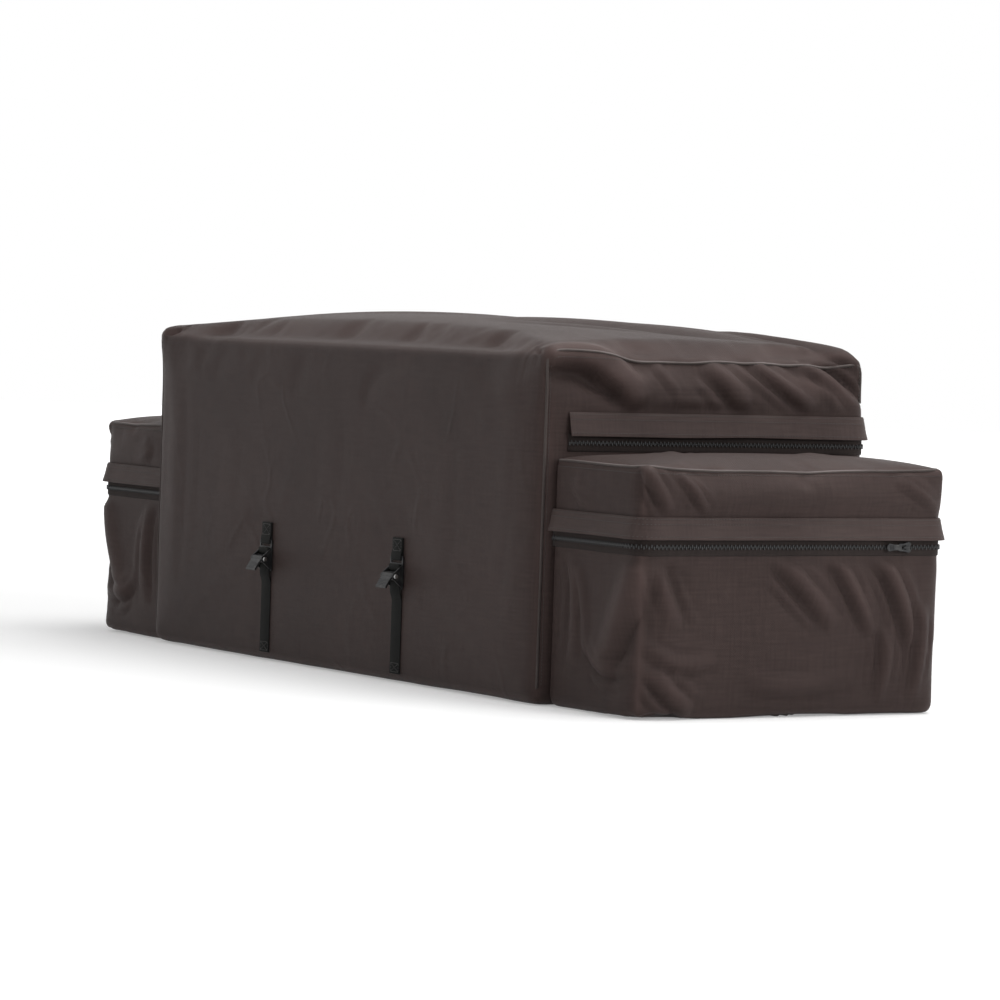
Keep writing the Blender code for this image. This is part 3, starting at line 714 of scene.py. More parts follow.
def press_folds(skin, folds, freedom, strength=1.0, hoods=()):
    """Move the skin's points by the sum of all folds, within a limit; a hood has no side creases."""
    verts = skin.data.vertices
    places, normals = numpy.empty((len(verts), 3)), numpy.empty((len(verts), 3))
    verts.foreach_get("co", places.ravel())
    verts.foreach_get("normal", normals.ravel())
    total = numpy.zeros(len(verts))
    for start, middle, end, width, height, hollow_side in with_side_creases(folds) + list(hoods):
        line = numpy.array(bowed(start, middle, end))
        along = numpy.gradient(line, axis=0)
        step = numpy.linalg.norm(along, axis=1).mean()
        along /= numpy.linalg.norm(along, axis=1, keepdims=True)
        centre = line.mean(axis=0)
        reach = numpy.linalg.norm(line - centre, axis=1).max() + 3.2 * width
        near = numpy.nonzero(numpy.linalg.norm(places - centre, axis=1) < reach)[0]
        if not len(near):
            continue
        away = places[near][:, None, :] - line
        index = (away ** 2).sum(axis=2).argmin(axis=1)
        offset, normal, run = away[range(len(near)), index], normals[near], along[index]
        offset -= (offset * normal).sum(axis=1, keepdims=True) * normal
        beyond = (offset * run).sum(axis=1)
        sideways = offset - beyond[:, None] * run
        side = numpy.where(sideways @ numpy.array(hollow_side, float) > 0, 1, -1)
        across = numpy.linalg.norm(sideways, axis=1) * side
        share = numpy.clip((index + beyond / step) / (len(line) - 1) * 0.94 + 0.03, 0, 1)
        fade = numpy.sin(math.pi * share) ** 0.7
        total[near] += height * strength * fade * fold_profile(across, width)
    total *= [freedom(vert.co) for vert in verts]
    limit = numpy.where(total > 0, RIDGE_LIMIT, HOLLOW_LIMIT)
    moved = places + normals * (limit * numpy.tanh(total / limit))[:, None]
    moved[:, 2] = numpy.maximum(moved[:, 2], 0.0)
    verts.foreach_set("co", moved.ravel())
    mark_wear_and_fold_shade(skin, normals, total)
    skin.data.update()
    print(skin.name, "folds", len(folds), "largest mm", round(float(abs(total).max()) * 1000, 1))


# %% [markdown]
# ## The middle block
#
# Its front runs plain from the base to the crown. On the right side wall above the end
# compartment, the photograph shows one strong swooping fold from the front corner and a few
# diagonal ones behind it. The other sides get folds of the same kind, softer and elsewhere.

# %% Middle skin: shape
SPACING = 0.0115
BLOCK_RADII = (0.024, 0.024, 0.013)
CROWN_SHARPNESS = (3.0, 3.2)

low, high = main_low.copy(), Vector((main_high.x, main_high.y, main_edge_z))
block = cut_block(low, high, SPACING)
lay_cloth_uv(block)
round_edges(block, low, high, BLOCK_RADII)
dome(block, low, high, high.z - 0.05, CROWN - 0.002, CROWN_SHARPNESS)
block.normal_update()
main_start = mesh_from(block.copy(), "main_start")
unevenness(block, 0.0022)
main_skin = piece_from(block, "main_skin", SHELL)
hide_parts("main_body", "main_lid")
print("middle skin points:", len(main_skin.data.vertices))

# %% Middle skin: settle


def main_hold(co):
    return 1.0 if co.z < 0.012 or main_freedom(co) < 0.05 else 0.05


def main_spare(co):
    """Share of spare cloth: most on the lid's side walls, least on the plain front."""
    above = ramp(main_zip_z, main_zip_z + 0.02, co.z)
    wall = ramp(main_high.x - 0.06, main_high.x - 0.02, abs(co.x)) * above
    back = ramp(main_high.y - 0.05, main_high.y - 0.015, co.y)
    front = ramp(-main_high.y + 0.20, -main_high.y + 0.06, co.y)
    return max(0.6 * wall * (1 - 0.8 * front), 0.45 * back, 0.13 * (1 - front) + 0.015)


relax(main_skin, main_start, main_hold, main_spare, 1.5, 20, main_freedom)

# %% Middle skin: folds of the side walls
side, back, top = main_high.x, main_high.y, main_edge_z
band_top = main_flap_z[1]
main_folds, hoods = [], []
for x, shift, strength in ((side, 0.0, 1.0), (-side, 0.035, 0.85)):
    hoods += on_wall(x, [
        ((-0.252, top - 0.009), (-0.170, top - 0.008), (-0.116 + shift, top - 0.066),
         0.018, 0.034, (0, -0.7, -1)),
    ], strength)
    main_folds += on_wall(x, [
        ((-0.080 + shift, top - 0.006), (-0.066, top - 0.032), (-0.048, top - 0.060),
         0.008, 0.004, (0, -1, -0.4)),
        ((0.000 + shift, top - 0.004), (0.026, top - 0.034), (0.056, top - 0.066),
         0.016, 0.012, (0, -1, -0.7)),
        ((0.072 - shift, top - 0.002), (0.108, top - 0.034), (0.156, top - 0.066),
         0.011, 0.011, (0, -1, -0.7)),
        ((0.142, top - 0.002), (0.192, top - 0.034), (0.236, top - 0.070),
         0.011, 0.014, (0, 1, 0.9)),
        ((-0.084, band_top + 0.014), (-0.010, band_top + 0.016), (0.060, band_top + 0.013),
         0.007, 0.004, DOWN),
    ], strength)

# %% Middle skin: folds of the back, the front and the crown
for x, lean, height in ((-0.44, 0.05, 0.010), (-0.30, -0.05, 0.007), (-0.14, 0.06, 0.008),
                        (0.08, -0.05, 0.007), (0.26, 0.06, 0.009), (0.43, -0.05, 0.010)):
    main_folds += on_face(back, [
        ((x, top - 0.004), (x + lean / 2, top - 0.035), (x + lean, band_top + 0.006),
         0.012, height, (-lean, 0, -0.05))])
for x, bottom, lean, height in (
        (-0.475, 0.14, 0.030, 0.008), (-0.38, 0.20, -0.055, 0.006), (-0.02, 0.21, 0.045, 0.005),
        (0.09, 0.17, -0.040, 0.005), (0.31, 0.16, 0.070, 0.007), (0.47, 0.10, -0.020, 0.008)):
    main_folds += on_face(back, [
        ((x, main_zip_z - 0.014), (x + 0.4 * lean, (main_zip_z + bottom) / 2), (x + lean, bottom),
         0.015, height, LEFTWARD if lean > 0 else RIGHTWARD)])
for x, lean, low_z, height in ((-0.44, 0.10, 0.045, 0.006), (-0.10, -0.09, 0.060, 0.005),
                               (0.06, 0.11, 0.050, 0.005), (0.42, -0.11, 0.055, 0.006)):
    main_folds += on_face(back, [
        ((x, low_z + 0.03), (x + lean / 2, low_z), (x + lean, low_z + 0.02), 0.014, height, DOWN)])
for x in STRAP_X:
    for face, height in ((back, 0.005), (-back, 0.0009)):
        for lean in (-1, 1):
            main_folds += on_face(face, [
                ((x + 0.022 * lean, STRAP_TOP), (x + 0.055 * lean, STRAP_TOP + 0.045),
                 (x + 0.110 * lean, STRAP_TOP + 0.075), 0.010, height, DOWN)])
for x, start, bottom, height in (
        (-0.462, 0.40, 0.08, 0.0026), (-0.30, 0.33, 0.20, 0.0012), (-0.02, 0.36, 0.20, 0.0012),
        (0.27, 0.34, 0.12, 0.0013), (0.462, 0.40, 0.10, 0.0026)):
    main_folds += on_face(-back, [
        ((x, start), (x + 0.012, (start + bottom) / 2), (x - 0.006, bottom), 0.026, height, RIGHTWARD)])
main_folds += [
    ((-0.40, -0.12, 0.470), (-0.25, -0.02, 0.478), (-0.05, 0.05, 0.478), 0.030, 0.006, AFT),
    ((0.42, 0.14, 0.466), (0.30, 0.00, 0.476), (0.12, -0.06, 0.478), 0.030, 0.006, FORE),
    ((0.50, 0.23, 0.448), (0.43, 0.17, 0.458), (0.36, 0.12, 0.468), 0.013, 0.007, FORE),
    ((-0.50, 0.23, 0.448), (-0.42, 0.18, 0.460), (-0.33, 0.15, 0.468), 0.013, 0.007, FORE),
    ((-0.10, 0.22, 0.455), (-0.13, 0.15, 0.470), (-0.12, 0.08, 0.475), 0.016, 0.005, LEFTWARD),
]
press_folds(main_skin, main_folds, main_freedom, hoods=hoods)

# %% [markdown]
# ## The end compartments
#
# Each is a box of cloth sewn to the middle block. Under its storm flap the photograph shows
# diagonal folds on the rear half, upright ones at the back corner and a dark crease that runs
# down from the front corner. The far end gets a mirrored set with other lengths.

# %% End skins: shape and folds
END_RADII = (0.022, 0.022, 0.007)


def end_block(sign):
    inner, outer = main_high.x + 0.0004, end_high.x
    x_low, x_high = (inner, outer) if sign > 0 else (-outer, -inner)
    low, high = Vector((x_low, end_low.y, 0.0)), Vector((x_high, end_high.y, end_high.z - END_CROWN))
    bm = cut_block(low, high, SPACING * 0.8)
    lay_cloth_uv(bm)
    round_edges(bm, low, high, END_RADII, square_side=-sign)
    dome(bm, low, high, high.z - 0.03, END_CROWN)
    bm.normal_update()
    return bm


def end_folds(sign):
    top, under, over = end_high.z, end_zip_z - BELOW_ZIP, end_flap_z[1]
    folds = on_wall(sign * end_high.x, [
        ((-0.226, top - 0.008), (-0.206, top - 0.034), (-0.186, over), 0.009, 0.009, (0, -1, -0.7)),
        ((-0.176, top - 0.014), (-0.156, top - 0.036), (-0.130, over), 0.007, 0.007, (0, -1, -0.7)),
        ((0.150, top - 0.020), (0.184, top - 0.034), (0.222, over + 0.006), 0.008, 0.005, DOWN),
        ((-0.030, under + 0.004), (0.016, 0.162), (0.062, 0.116), 0.013, 0.012, (0, -1, -0.7)),
        ((0.056, under + 0.004), (0.086, 0.162), (0.120, 0.104), 0.010, 0.012, (0, -1, -0.6)),
        ((0.122, under + 0.004), (0.156, 0.160), (0.182, 0.090), 0.011, 0.013, (0, -1, -0.5)),
        ((0.140, 0.110), (0.143, 0.070), (0.134, 0.020), 0.010, 0.008, FORE),
        ((0.196, 0.140), (0.198, 0.090), (0.188, 0.020), 0.009, 0.008, FORE),
        ((-0.212, under), (-0.196, 0.158), (-0.176, 0.110), 0.014, 0.010, AFT),
        ((-0.216, 0.092), (-0.170, 0.070), (-0.120, 0.076), 0.010, 0.007, DOWN),
        ((-0.206, 0.060), (-0.180, 0.034), (-0.150, 0.012), 0.012, 0.011, (0, -1, -0.6)),
        ((-0.070, 0.050), (0.000, 0.040), (0.090, 0.052), 0.014, 0.005, DOWN),
    ])
    folds += on_face(end_low.y, [
        ((0.560, top - 0.030), (0.580, 0.262), (0.610, over), 0.010, 0.004, DOWN),
        ((0.552, under), (0.572, 0.140), (0.566, 0.050), 0.013, 0.007, (-sign, 0, 0)),
        ((0.600, 0.090), (0.640, 0.062), (0.694, 0.070), 0.011, 0.007, DOWN),
    ], sign)
    folds += on_face(end_high.y, [
        ((0.690, top - 0.012), (0.656, 0.275), (0.600, over), 0.009, 0.008, DOWN),
        ((0.560, under), (0.614, 0.150), (0.668, 0.096), 0.011, 0.010, DOWN),
        ((0.640, under), (0.668, 0.160), (0.690, 0.090), 0.010, 0.008, DOWN),
    ], sign)
    for ys, hollow_side in (((0.170, 0.110, 0.070), FORE), ((-0.080, -0.110, -0.120), AFT)):
        spots = zip((0.550, 0.590, 0.620), ys, (top + 0.001, top + 0.002, top + 0.001))
        folds.append((*[(sign * x, y, z) for x, y, z in spots], 0.012, 0.0025, hollow_side))
    return folds


def end_hood(sign):
    """The large crease below the zip, from the outer front corner down across the front."""
    return on_face(end_low.y, [
        ((0.700, 0.205), (0.678, 0.140), (0.630, 0.052), 0.019, 0.012, (sign, 0, 0))], sign)


def end_hold(co):
    return 1.0 if co.z < 0.010 or end_freedom(co) < 0.05 else 0.06


def end_spare(co):
    return 0.34 if co.z < end_zip_z else 0.14


for side_name, sign, strength in (("left", -1, 0.85), ("right", 1, 1.0)):
    block = end_block(sign)
    end_start = mesh_from(block.copy(), "end_start_" + side_name)
    unevenness(block, 0.0025)
    skin = piece_from(block, "end_skin_" + side_name, SHELL)
    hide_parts("end_body_" + side_name, "end_lid_" + side_name)
    relax(skin, end_start, end_hold, end_spare, 1.2, 18, end_freedom)
    press_folds(skin, end_folds(sign), end_freedom, strength, hoods=end_hood(sign))

# %% [markdown]
# ## Bands that run round three sides
#
# Zips and storm flaps all follow the same kind of path: along one side, round two corners
# and back. One helper sweeps an open section along it, straight by extruding and round each
# corner by spinning, so that the band is even everywhere. The path is laid out flat, then
# turned to face outwards from its own block.

# %% Sweep helper
STEP = 0.010
CORNER_STEPS = 6
BLOCKS = ("main", "end_left", "end_right")


def band_name(block_name, part):
    """The name of a block's zip or flap, such as end_zip_left."""
    place, _, side_name = block_name.partition("_")
    return "_".join(word for word in (place, part, side_name) if word)


def path_of(block_name):
    """Half width, length and corner radius of a block's three-sided path."""
    if block_name == "main":
        return main_high.x, main_high.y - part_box("main_zip")[0].y, BLOCK_RADII[0]
    return end_high.y, end_high.x - main_high.x, END_RADII[0]


def placing_of(block_name):
    """The matrix that puts a path on its block."""
    if block_name == "main":
        return Matrix.Translation((0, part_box("main_zip")[0].y, 0))
    sign = 1 if block_name == "end_right" else -1
    turn = Matrix.Rotation(-sign * math.pi / 2, 4, "Z")
    return Matrix.Translation((sign * main_high.x, 0, 0)) @ turn


def sweep(section, half_width, length, radius):
    """An open section of (outwards, up) points, swept along the three sides."""
    bm = bmesh.new()
    verts = [bm.verts.new((-half_width - out, 0, up)) for out, up in section]
    line = [bm.edges.new(pair) for pair in zip(verts, verts[1:])]

    def run(line, reach, direction):
        steps = max(round(reach / STEP), 1)
        for _ in range(steps):
            moved = bmesh.ops.extrude_edge_only(bm, edges=line)["geom"]
            line = [item for item in moved if isinstance(item, bmesh.types.BMEdge)]
            fresh = [item for item in moved if isinstance(item, bmesh.types.BMVert)]
            bmesh.ops.translate(bm, verts=fresh, vec=Vector(direction) * reach / steps)
            line = [edge for edge in line if all(vert in fresh for vert in edge.verts)]
        return line

    def corner(line, centre):
        ends = list(dict.fromkeys(vert for edge in line for vert in edge.verts))
        turned = bmesh.ops.spin(bm, geom=ends + line, cent=(*centre, 0), axis=(0, 0, -1),
                                angle=math.pi / 2, steps=CORNER_STEPS)["geom_last"]
        return [item for item in turned if isinstance(item, bmesh.types.BMEdge)]

    line = run(line, length - radius, (0, 1, 0))
    line = corner(line, (-half_width + radius, length - radius))
    line = run(line, 2 * (half_width - radius), (1, 0, 0))
    line = corner(line, (half_width - radius, length - radius))
    run(line, length - radius, (0, -1, 0))
    bmesh.ops.recalc_face_normals(bm, faces=bm.faces)
    return bm


def put_on_block(bm, block_name, height):
    """Turn a band's faces outwards, move it to its block and lay its cloth map."""
    centre = Vector((0, path_of(block_name)[1] / 2, height))
    bm.normal_update()
    pointing = sum(
        face.normal.dot(face.calc_center_median() - centre) * face.calc_area() for face in bm.faces)
    if pointing < 0:
        bmesh.ops.reverse_faces(bm, faces=bm.faces)
    bmesh.ops.transform(bm, matrix=placing_of(block_name), verts=bm.verts)
    lay_cloth_uv(bm)


def thicken(piece, name, thickness, offset):
    thick = piece.modifiers.new(name, "SOLIDIFY")
    thick.thickness = thickness
    thick.offset = offset


def stations(half_width, length, radius, pitch):
    """Points, directions along and directions outwards at an even pitch on the path."""
    arc = radius * math.pi / 2
    lengths = [length - radius, arc, 2 * (half_width - radius), arc, length - radius]
    straights = {0: ((-half_width, 0), (0, 1)), 2: ((-half_width + radius, length), (1, 0)),
                 4: ((half_width, length - radius), (0, -1))}
    made, total = [], sum(lengths)
    count = int(total / pitch)
    for index in range(count + 1):
        at = (index + 0.5) * total / (count + 1)
        part = 0
        while at > lengths[part] and part < 4:
            at -= lengths[part]
            part += 1
        if part in straights:
            (x, y), (dx, dy) = straights[part]
            made.append((Vector((x + at * dx, y + at * dy, 0)), Vector((dx, dy, 0)), Vector((-dy, dx, 0))))
        else:
            angle = math.pi * (1 if part == 1 else 0.5) - at / radius
            middle = Vector(((-1 if part == 1 else 1) * (half_width - radius), length - radius, 0))
            out = Vector((math.cos(angle), math.sin(angle), 0))
            made.append((middle + radius * out, Vector((out.y, -out.x, 0)), out))
    return made


# %% [markdown]
# ## Storm flaps
#
# A storm flap is a folded strip of the shell cloth, sewn on along its top and hanging free
# over the zip. It is swept as a thin sheet, waved a little along its free edge, and given
# its doubled thickness by Solidify. Two rows of stitches hold its top, one its hem.

# %% Flaps
# Distance from the wall and share of the drop, from the sewn top down; the hem flares most
FLAP_SECTION = (
    (0.0012, 0.0), (0.0024, 0.12), (0.0034, 0.30), (0.0046, 0.50), (0.0059, 0.70), (0.0071, 0.86))
HEM_FLARE = 0.0080


def make_flap(block_name):
    node_name = band_name(block_name, "flap")
    half_width, length, radius = path_of(block_name)
    bottom, top = heights_of(node_name)
    drop = top - bottom
    section = [(out, top - share * drop) for out, share in FLAP_SECTION] + [(HEM_FLARE, bottom + 0.0006)]
    bm = sweep(section, half_width, length, radius)
    for vert in bm.verts:
        hang = ((top - vert.co.z) / drop) ** 1.5
        lift = noise.noise(vert.co * 9.0 + Vector((5, 2, 0))) + 0.6 * noise.noise(vert.co * 26.0)
        on_side = abs(vert.co.x) > half_width - 0.002
        out = Vector((vert.co.x, 0, 0)).normalized() if on_side else Vector((0, 1, 0))
        vert.co += out * (0.0016 * lift * hang + 0.0006 * noise.noise(vert.co * 40.0))
        vert.co.z += 0.0016 * hang * noise.noise(vert.co * 7.0 + Vector((0, 0, 9)))
    put_on_block(bm, block_name, top)
    flap = piece_from(bm, node_name + "_cloth", FLAP_CLOTH_PAINTED_LIT)
    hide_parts(node_name)
    thicken(flap, "doubled", 0.0016, 0.6)
    rounded = flap.modifiers.new("folded_edge", "BEVEL")
    rounded.width = 0.0005
    rounded.segments = 2
    rounded.limit_method = "ANGLE"
    print(flap.name, "faces:", len(flap.data.polygons))


for block_name in BLOCKS:
    make_flap(block_name)

# %% Stitches
STITCH_PITCH = 0.0042
STITCH_SIZE = (0.0014, 0.00045, 0.0004)
STITCH_FACES = 20
THREAD = (0.055, 0.052, 0.050)


def stitch_shape():
    """One stitch: a short rounded thread along x."""
    bm = bmesh.new()
    bmesh.ops.create_icosphere(bm, subdivisions=1, radius=1.0)
    bmesh.ops.scale(bm, vec=STITCH_SIZE, verts=bm.verts)
    return mesh_from(bm, "stitch_shape")


STITCH = stitch_shape()


def add_copy(bm, shape, place, along, out, placing=Matrix()):
    """Copy a small shape to a place, its length along the seam and its back to the cloth."""
    known = len(bm.verts)
    bm.from_mesh(shape)
    bm.verts.ensure_lookup_table()
    axes = Matrix((along, out.cross(along), out)).transposed().to_4x4()
    bmesh.ops.transform(bm, matrix=placing @ Matrix.Translation(place) @ axes, verts=bm.verts[known:])


def seam_finish():
    made, tree, surface, place = new_material("sewing_thread")
    # painted light and shade: the thread's colour is made paler and darker along its twist
    twist = node(tree, "ShaderNodeTexWave", {
        "Vector": place, "Scale": 900.0, "Distortion": 1.0}, bands_direction="DIAGONAL").outputs["Fac"]
    plug(tree, surface, {
        "Base Color": scaled(tree, THREAD, spread(tree, twist, 0.0, 1.0, 0.8, 1.2)),
        "Roughness": 0.55, "Normal": bumped(tree, twist, 0.0001)})
    return made


SEAM_THREAD = seam_finish()


def sewn_seam(bm, name):
    """The finished stitches of one seam, and how many there are."""
    seam = piece_from(bm, name, SEAM_THREAD, sharp=False)
    return len(seam.data.polygons) // STITCH_FACES


def sew_flap(block_name):
    node_name = band_name(block_name, "flap")
    path, placing = path_of(block_name), placing_of(block_name)
    turn = placing.to_3x3()
    bottom, top = heights_of(node_name)
    surface = finished(bpy.data.objects[node_name + "_cloth"])
    bm = bmesh.new()
    for height in (top - 0.0022, top - 0.0085, bottom + 0.0045):
        for point, along, out in stations(*path, STITCH_PITCH):
            outside = placing @ (point + Vector((0, 0, height)) + out * 0.02)
            facing = turn @ out
            hit, spot, normal, _ = surface.ray_cast(outside, -facing, distance=0.04)
            if hit:
                add_copy(bm, STITCH, spot + normal * 0.0001, turn @ along, facing)
    print(node_name, "stitches:", sewn_seam(bm, node_name + "_stitches"))


for block_name in BLOCKS:
    sew_flap(block_name)

# %% [markdown]
# ## Piped seams
#
# The walls are sewn to the cover with a thin piping, which gives a stuffed bag its crisp
# outline. Its path is found by casting rays at the edge from outside, so the piping lies on
# the settled cloth, half sunk between the panels. A curve with a round bevel makes it.

# %% Piping
PIPING_RADIUS = 0.0019


def lie_on(skin, targets):
    """Where rays towards each target along its direction meet the skin, evened out."""
    surface = finished(skin)
    spots = []
    for target, away in targets:
        away = away.normalized()
        hit, spot, _, _ = surface.ray_cast(target + away * 0.05, -away, distance=0.12)
        if hit:
            spots.append(spot + away * 0.0005)
    for _ in range(3):
        inner = [(a + 2 * b + c) / 4 for a, b, c in zip(spots, spots[1:], spots[2:])]
        spots = [spots[0]] + inner + [spots[-1]]
    return spots


def make_piping(name, skin, targets):
    spots = lie_on(skin, targets)
    line = bpy.data.curves.new(name + "_line", "CURVE")
    line.dimensions = "3D"
    run = line.splines.new("POLY")
    run.points.add(len(spots) - 1)
    for point, spot in zip(run.points, spots):
        point.co = (*spot, 1)
    line.bevel_depth = PIPING_RADIUS
    line.bevel_resolution = 2
    line.use_fill_caps = True
    made = add_object(name + "_line", line)
    mesh = bpy.data.meshes.new_from_object(finished(made))
    scene.collection.objects.unlink(made)
    bm = bmesh.new()
    bm.from_mesh(mesh)
    bmesh.ops.recalc_face_normals(bm, faces=bm.faces)
    lay_cloth_uv(bm)
    piping = piece_from(bm, name, PIPING_WITH_PAINTED_HIGHLIGHT)
    print(name, "points", len(spots), "faces", len(piping.data.polygons))


def wall_outline(sign, stops, inset, tilt, pitch):
    """Round a side wall of the middle: up the front edge, over the top and down the back."""
    x, out = sign * main_high.x, Vector((sign, 0, 0))
    front, back, top = main_low.y + inset, main_high.y - inset, main_edge_z - inset
    first, last = stops
    spots = [(front, first + step * pitch, FORE) for step in range(int((top - first) / pitch))]
    spots.append((front, top, (0, -1, 1)))
    spots += [(front + step * pitch, top, (0, 0, 1)) for step in range(1, int((back - front) / pitch))]
    spots.append((back, top, (0, 1, 1)))
    spots += [(back, top - step * pitch, AFT) for step in range(2, int((top - last) / pitch))]
    return [(Vector((x, y, z)), out + tilt * Vector(lean)) for y, z, lean in spots]


def lid_outline(side_name, inset, tilt, pitch):
    """Round the top edge of an end compartment's lid."""
    block_name = "end_" + side_name
    placing = placing_of(block_name)
    targets = []
    for point, _, out in stations(*path_of(block_name), pitch):
        facing = placing.to_3x3() @ out + tilt * Vector((0, 0, 1))
        targets.append((placing @ (point + Vector((0, 0, end_high.z - END_CROWN - inset))), facing))
    return targets


for side_name, sign in (("left", -1), ("right", 1)):
    stops = (0.022, band_top + 0.004)
    make_piping("wall_piping_" + side_name, main_skin, wall_outline(sign, stops, 0.0, 1.0, 0.010))
    end_skin = bpy.data.objects["end_skin_" + side_name]
    make_piping("lid_piping_" + side_name, end_skin, lid_outline(side_name, 0.0, 1.0, 0.009))

# %% Topstitching beside the piping
SEAM_INSET = 0.010
SEAM_TILT = 0.3


def topstitch(name, skin, targets):
    """Stitches along the way between targets, a stitch for each pair."""
    spots = lie_on(skin, targets)
    bm = bmesh.new()
    for start, end, (_, away) in zip(spots, spots[1:], targets):
        along = (end - start).normalized()
        out = (away - away.dot(along) * along).normalized()
        add_copy(bm, STITCH, (start + end) / 2, along, out)
    print(name, "stitches:", sewn_seam(bm, name))


for side_name, sign in (("left", -1), ("right", 1)):
    outline = wall_outline(sign, (0.026, band_top + 0.012), SEAM_INSET, SEAM_TILT, STITCH_PITCH)
    topstitch("wall_stitches_" + side_name, main_skin, outline)
    end_skin = bpy.data.objects["end_skin_" + side_name]
    outline = lid_outline(side_name, SEAM_INSET, SEAM_TILT, STITCH_PITCH)
    topstitch("lid_stitches_" + side_name, end_skin, outline)

# %% [markdown]
# ## Zips
#
# Each zip is a woven tape with two rows of moulded teeth that lock in the middle. The tape is
# swept like the flaps. A tooth is a small bevelled block, repeated at the zip's real pitch,
# turn about from above and from below.

# %% Zip tapes and teeth
TOOTH_SPACING = 0.0029
TOOTH_SIZE = (0.0017, 0.0044, 0.0020)
TOOTH_LEAN = 0.0009
TOOTH_OUT = 0.0024
TOOTH_FACES = 26


def tooth_shape():
    bm = bmesh.new()
    bmesh.ops.create_cube(bm, size=1.0)
    bmesh.ops.scale(bm, vec=TOOTH_SIZE, verts=bm.verts)
    bmesh.ops.bevel(bm, geom=bm.edges[:], offset=0.0004, segments=1, profile=0.5, affect="EDGES", material=-1)
    return mesh_from(bm, "tooth_shape")


TOOTH = tooth_shape()


def tooth_finish():
    made, tree, surface, place = new_material("zip_teeth")
    rub = mottle(tree, place, 60.0, 2.0)
    plug(tree, surface, {
        "Base Color": blend(tree, rub, (0.010, 0.010, 0.011, 1), (0.030, 0.030, 0.031, 1)),
        "Roughness": maths(tree, "MULTIPLY_ADD", rub, 0.25, 0.22)})
    return made


TOOTH_PLASTIC = tooth_finish()


def make_zip(block_name):
    node_name = band_name(block_name, "zip")
    path = path_of(block_name)
    bottom, top = heights_of(node_name)
    middle = (bottom + top) / 2
    upper = [(0.0006, top), (0.0014, top - 0.001), (0.0015, top - 0.004), (0.0015, middle + 0.003)]
    lower = [(0.0015, middle - 0.003), (0.0015, bottom + 0.004), (0.0014, bottom + 0.001), (0.0006, bottom)]
    bm = sweep(upper + [(0.0014, middle)] + lower, *path)
    put_on_block(bm, block_name, middle)
    tape = piece_from(bm, node_name + "_tape", TAPE)
    thicken(tape, "woven", 0.0009, -1.0)
    teeth = bmesh.new()
    for index, (point, along, out) in enumerate(stations(*path, TOOTH_SPACING)):
        lean = TOOTH_LEAN * (1 if index % 2 else -1)
        place = point + Vector((0, 0, middle + lean)) + out * TOOTH_OUT
        add_copy(teeth, TOOTH, place, along, out, placing_of(block_name))
    row = piece_from(teeth, node_name + "_teeth", TOOTH_PLASTIC, smooth=False, sharp=False)
    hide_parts(node_name)
    print(node_name, "teeth:", len(row.data.polygons) // TOOTH_FACES)


for block_name in BLOCKS:
    make_zip(block_name)

# %% [markdown]
# ## Straps and tabs
#
# The webbing is a thick ribbed weave with a denser edge. Its solids already lie right, so
# each strap is a welded copy of its solid, with its edges softened and a map in metres for
# the ribs. A sewn box with a cross holds each tab, and the hem at each strap's end.

# %% Webbing finish
RIBS, CORDS = 2000.0, 1250.0


def webbing_finish():
    made, tree, surface, place = new_material("ribbed_webbing")
    cloth_uv = node(tree, "ShaderNodeUVMap", uv_map="cloth").outputs["UV"]
    split = node(tree, "ShaderNodeSeparateXYZ", {0: cloth_uv}).outputs
    ribs, cords = [
        maths(tree, "ABSOLUTE", maths(tree, "SINE", maths(tree, "MULTIPLY", split[axis], rate)))
        for axis, rate in (("Y", RIBS), ("X", CORDS))]
    height = maths(tree, "ADD", maths(tree, "MULTIPLY", ribs, 0.6), maths(tree, "MULTIPLY", cords, 0.4))
    wear = maths(tree, "MULTIPLY_ADD", mottle(tree, place, 40.0, 4.0), 0.5, 0.45)
    # painted light and shade: the rib and cord tops are made paler and their grooves darker
    colour = scaled(tree, (0.014, 0.0145, 0.014), maths(tree, "MULTIPLY_ADD", height, 0.5, wear))
    film = node(tree, "ShaderNodeGroup", {"Vector": place, "Amount": 0.25}, node_tree=DUST_AND_HIGHLIGHT).outputs["Mask"]
    plug(tree, surface, {
        "Base Color": blend(tree, film, colour, (0.10, 0.092, 0.085, 1)),
        "Roughness": 0.72, "Sheen Weight": 0.02, "Specular IOR Level": 0.05,
        "Normal": bumped(tree, height, 0.0003)})
    return made


WEBBING = webbing_finish()

# %% Straps and tabs
BOX_PITCH = 0.0033
BOX_INSET = 0.0028
TAB_BOX = (0.017, 0.0025)
HEM_BOX = (0.0145, 0.026)


def webbing_copy(node_name):
    bm = bmesh.new()
    bm.from_mesh(nodes[node_name].data)
    bmesh.ops.remove_doubles(bm, verts=bm.verts, dist=0.00001)
    bmesh.ops.dissolve_limit(bm, angle_limit=math.radians(1), verts=bm.verts, edges=bm.edges)
    bmesh.ops.recalc_face_normals(bm, faces=bm.faces)
    edges = [edge for edge in bm.edges if edge.is_manifold and edge.calc_face_angle() > math.radians(60)]
    bmesh.ops.bevel(bm, geom=edges, offset=0.00035, segments=2, profile=0.5, affect="EDGES", material=-1)
    lay_cloth_uv(bm)
    strap = piece_from(bm, node_name + "_webbing", WEBBING)
    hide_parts(node_name)
    return strap


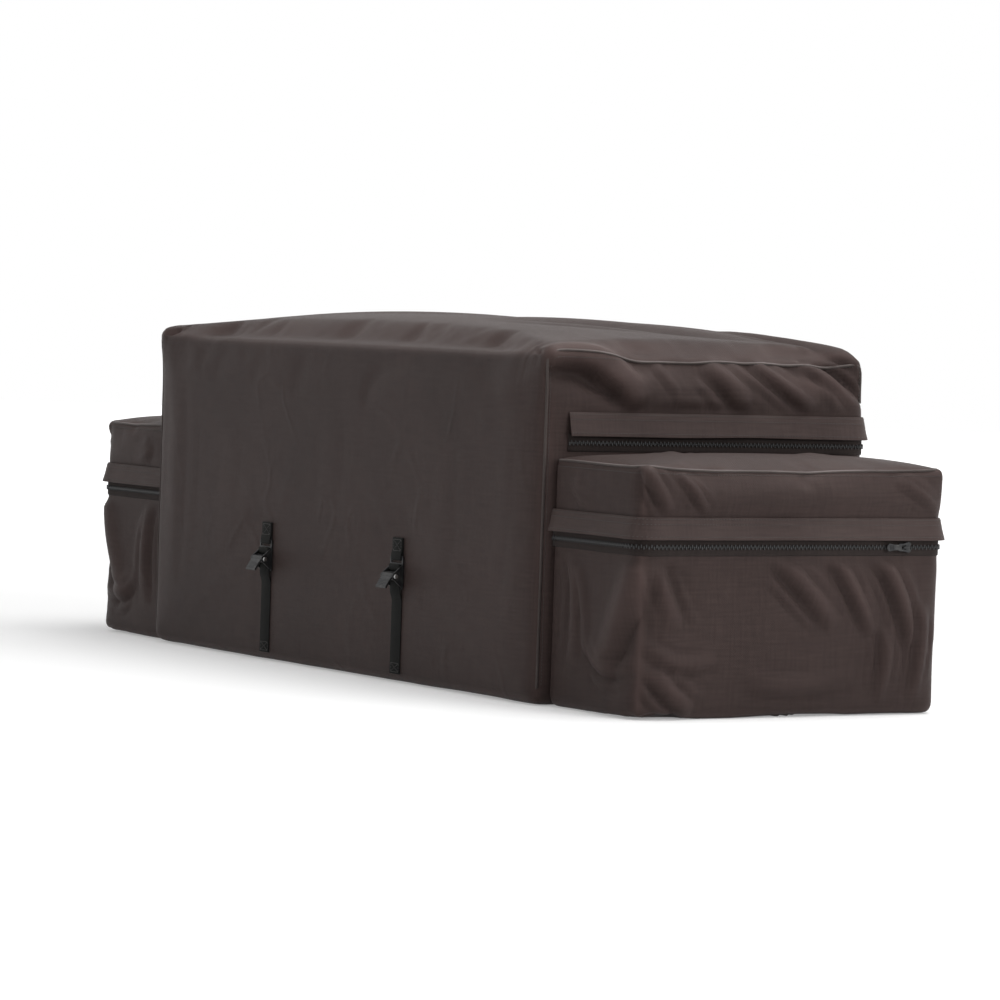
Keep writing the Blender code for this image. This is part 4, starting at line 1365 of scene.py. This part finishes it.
def box_stitch(bm, piece, centre_x, low_z, high_z, sign):
    """A sewn rectangle with a cross, on the strip's outer face."""
    surface = finished(piece)
    half = STRAP_HALF - BOX_INSET
    corners = [Vector((centre_x + x, 0, z)) for x, z in (
        (-half, low_z), (half, low_z), (half, high_z), (-half, high_z))]
    sides = list(zip(corners, corners[1:] + corners[:1]))
    for start, end in sides + [(corners[0], corners[2]), (corners[1], corners[3])]:
        count = max(round((end - start).length / BOX_PITCH), 1)
        along = (end - start).normalized()
        for index in range(count):
            spot = start + (end - start) * (index + 0.5) / count
            hit, place, normal, _ = surface.ray_cast(
                Vector((spot.x, sign * 0.35, spot.z)), Vector((0, -sign, 0)), distance=0.12)
            if hit:
                add_copy(bm, STITCH, place + normal * 0.0001, along, Vector((0, sign, 0)))


for face, sign in (("front", -1), ("back", 1)):
    for side_name, centre_x in zip(("left", "right"), STRAP_X):
        where = "%s_%s" % (face, side_name)
        strap = webbing_copy("strap_" + where)
        tab = webbing_copy("strap_tab_" + where)
        tab_top = heights_of("strap_tab_" + where)[1]
        bm = bmesh.new()
        box_stitch(bm, tab, centre_x, tab_top - TAB_BOX[0], tab_top - TAB_BOX[1], sign)
        box_stitch(bm, strap, centre_x, *HEM_BOX, sign)
        count = sewn_seam(bm, "tab_stitches_" + where)
        print(strap.name, "faces", len(strap.data.polygons), "stitches", count)

# %% [markdown]
# ## Buckles, sliders and pins
#
# The metal parts are right as solids, so they stay and only take a finish: black coated
# metal, rubbed a little brighter in patches, and plain plated steel for the pins.

# %% Metal finishes


def metal(name, dark, bright, roughness, metallic, scale):
    made, tree, surface, place = new_material(name)
    rub = mottle(tree, place, scale, 5.0, 0.65)
    plug(tree, surface, {
        "Base Color": blend(tree, spread(tree, rub, 0.52, 0.72), (*dark, 1), (*bright, 1)),
        "Roughness": maths(tree, "MULTIPLY_ADD", rub, 0.3, roughness), "Metallic": metallic,
        "Normal": bumped(tree, mottle(tree, place, 900.0, 1.0), 0.00004)})
    return made


BLACK_METAL = metal("black_coated_metal", (0.022, 0.022, 0.023), (0.070, 0.068, 0.066), 0.28, 0.55, 70.0)
PLATED = metal("plated_steel", (0.40, 0.40, 0.39), (0.55, 0.55, 0.54), 0.18, 1.0, 60.0)
for name, solid in nodes.items():
    if name.startswith("buckle_pin"):
        look = PLATED
    elif name.startswith("buckle") or "slider" in name or "pull" in name:
        look = BLACK_METAL
    else:
        continue
    for slot in solid.material_slots:
        slot.material = look
print("left with their own finish:", [n for n, o in nodes.items() if not o.hide_render and o.material_slots
                                      and o.material_slots[0].material not in (BLACK_METAL, PLATED)])

# %% The solids' box
low, high = solid_box
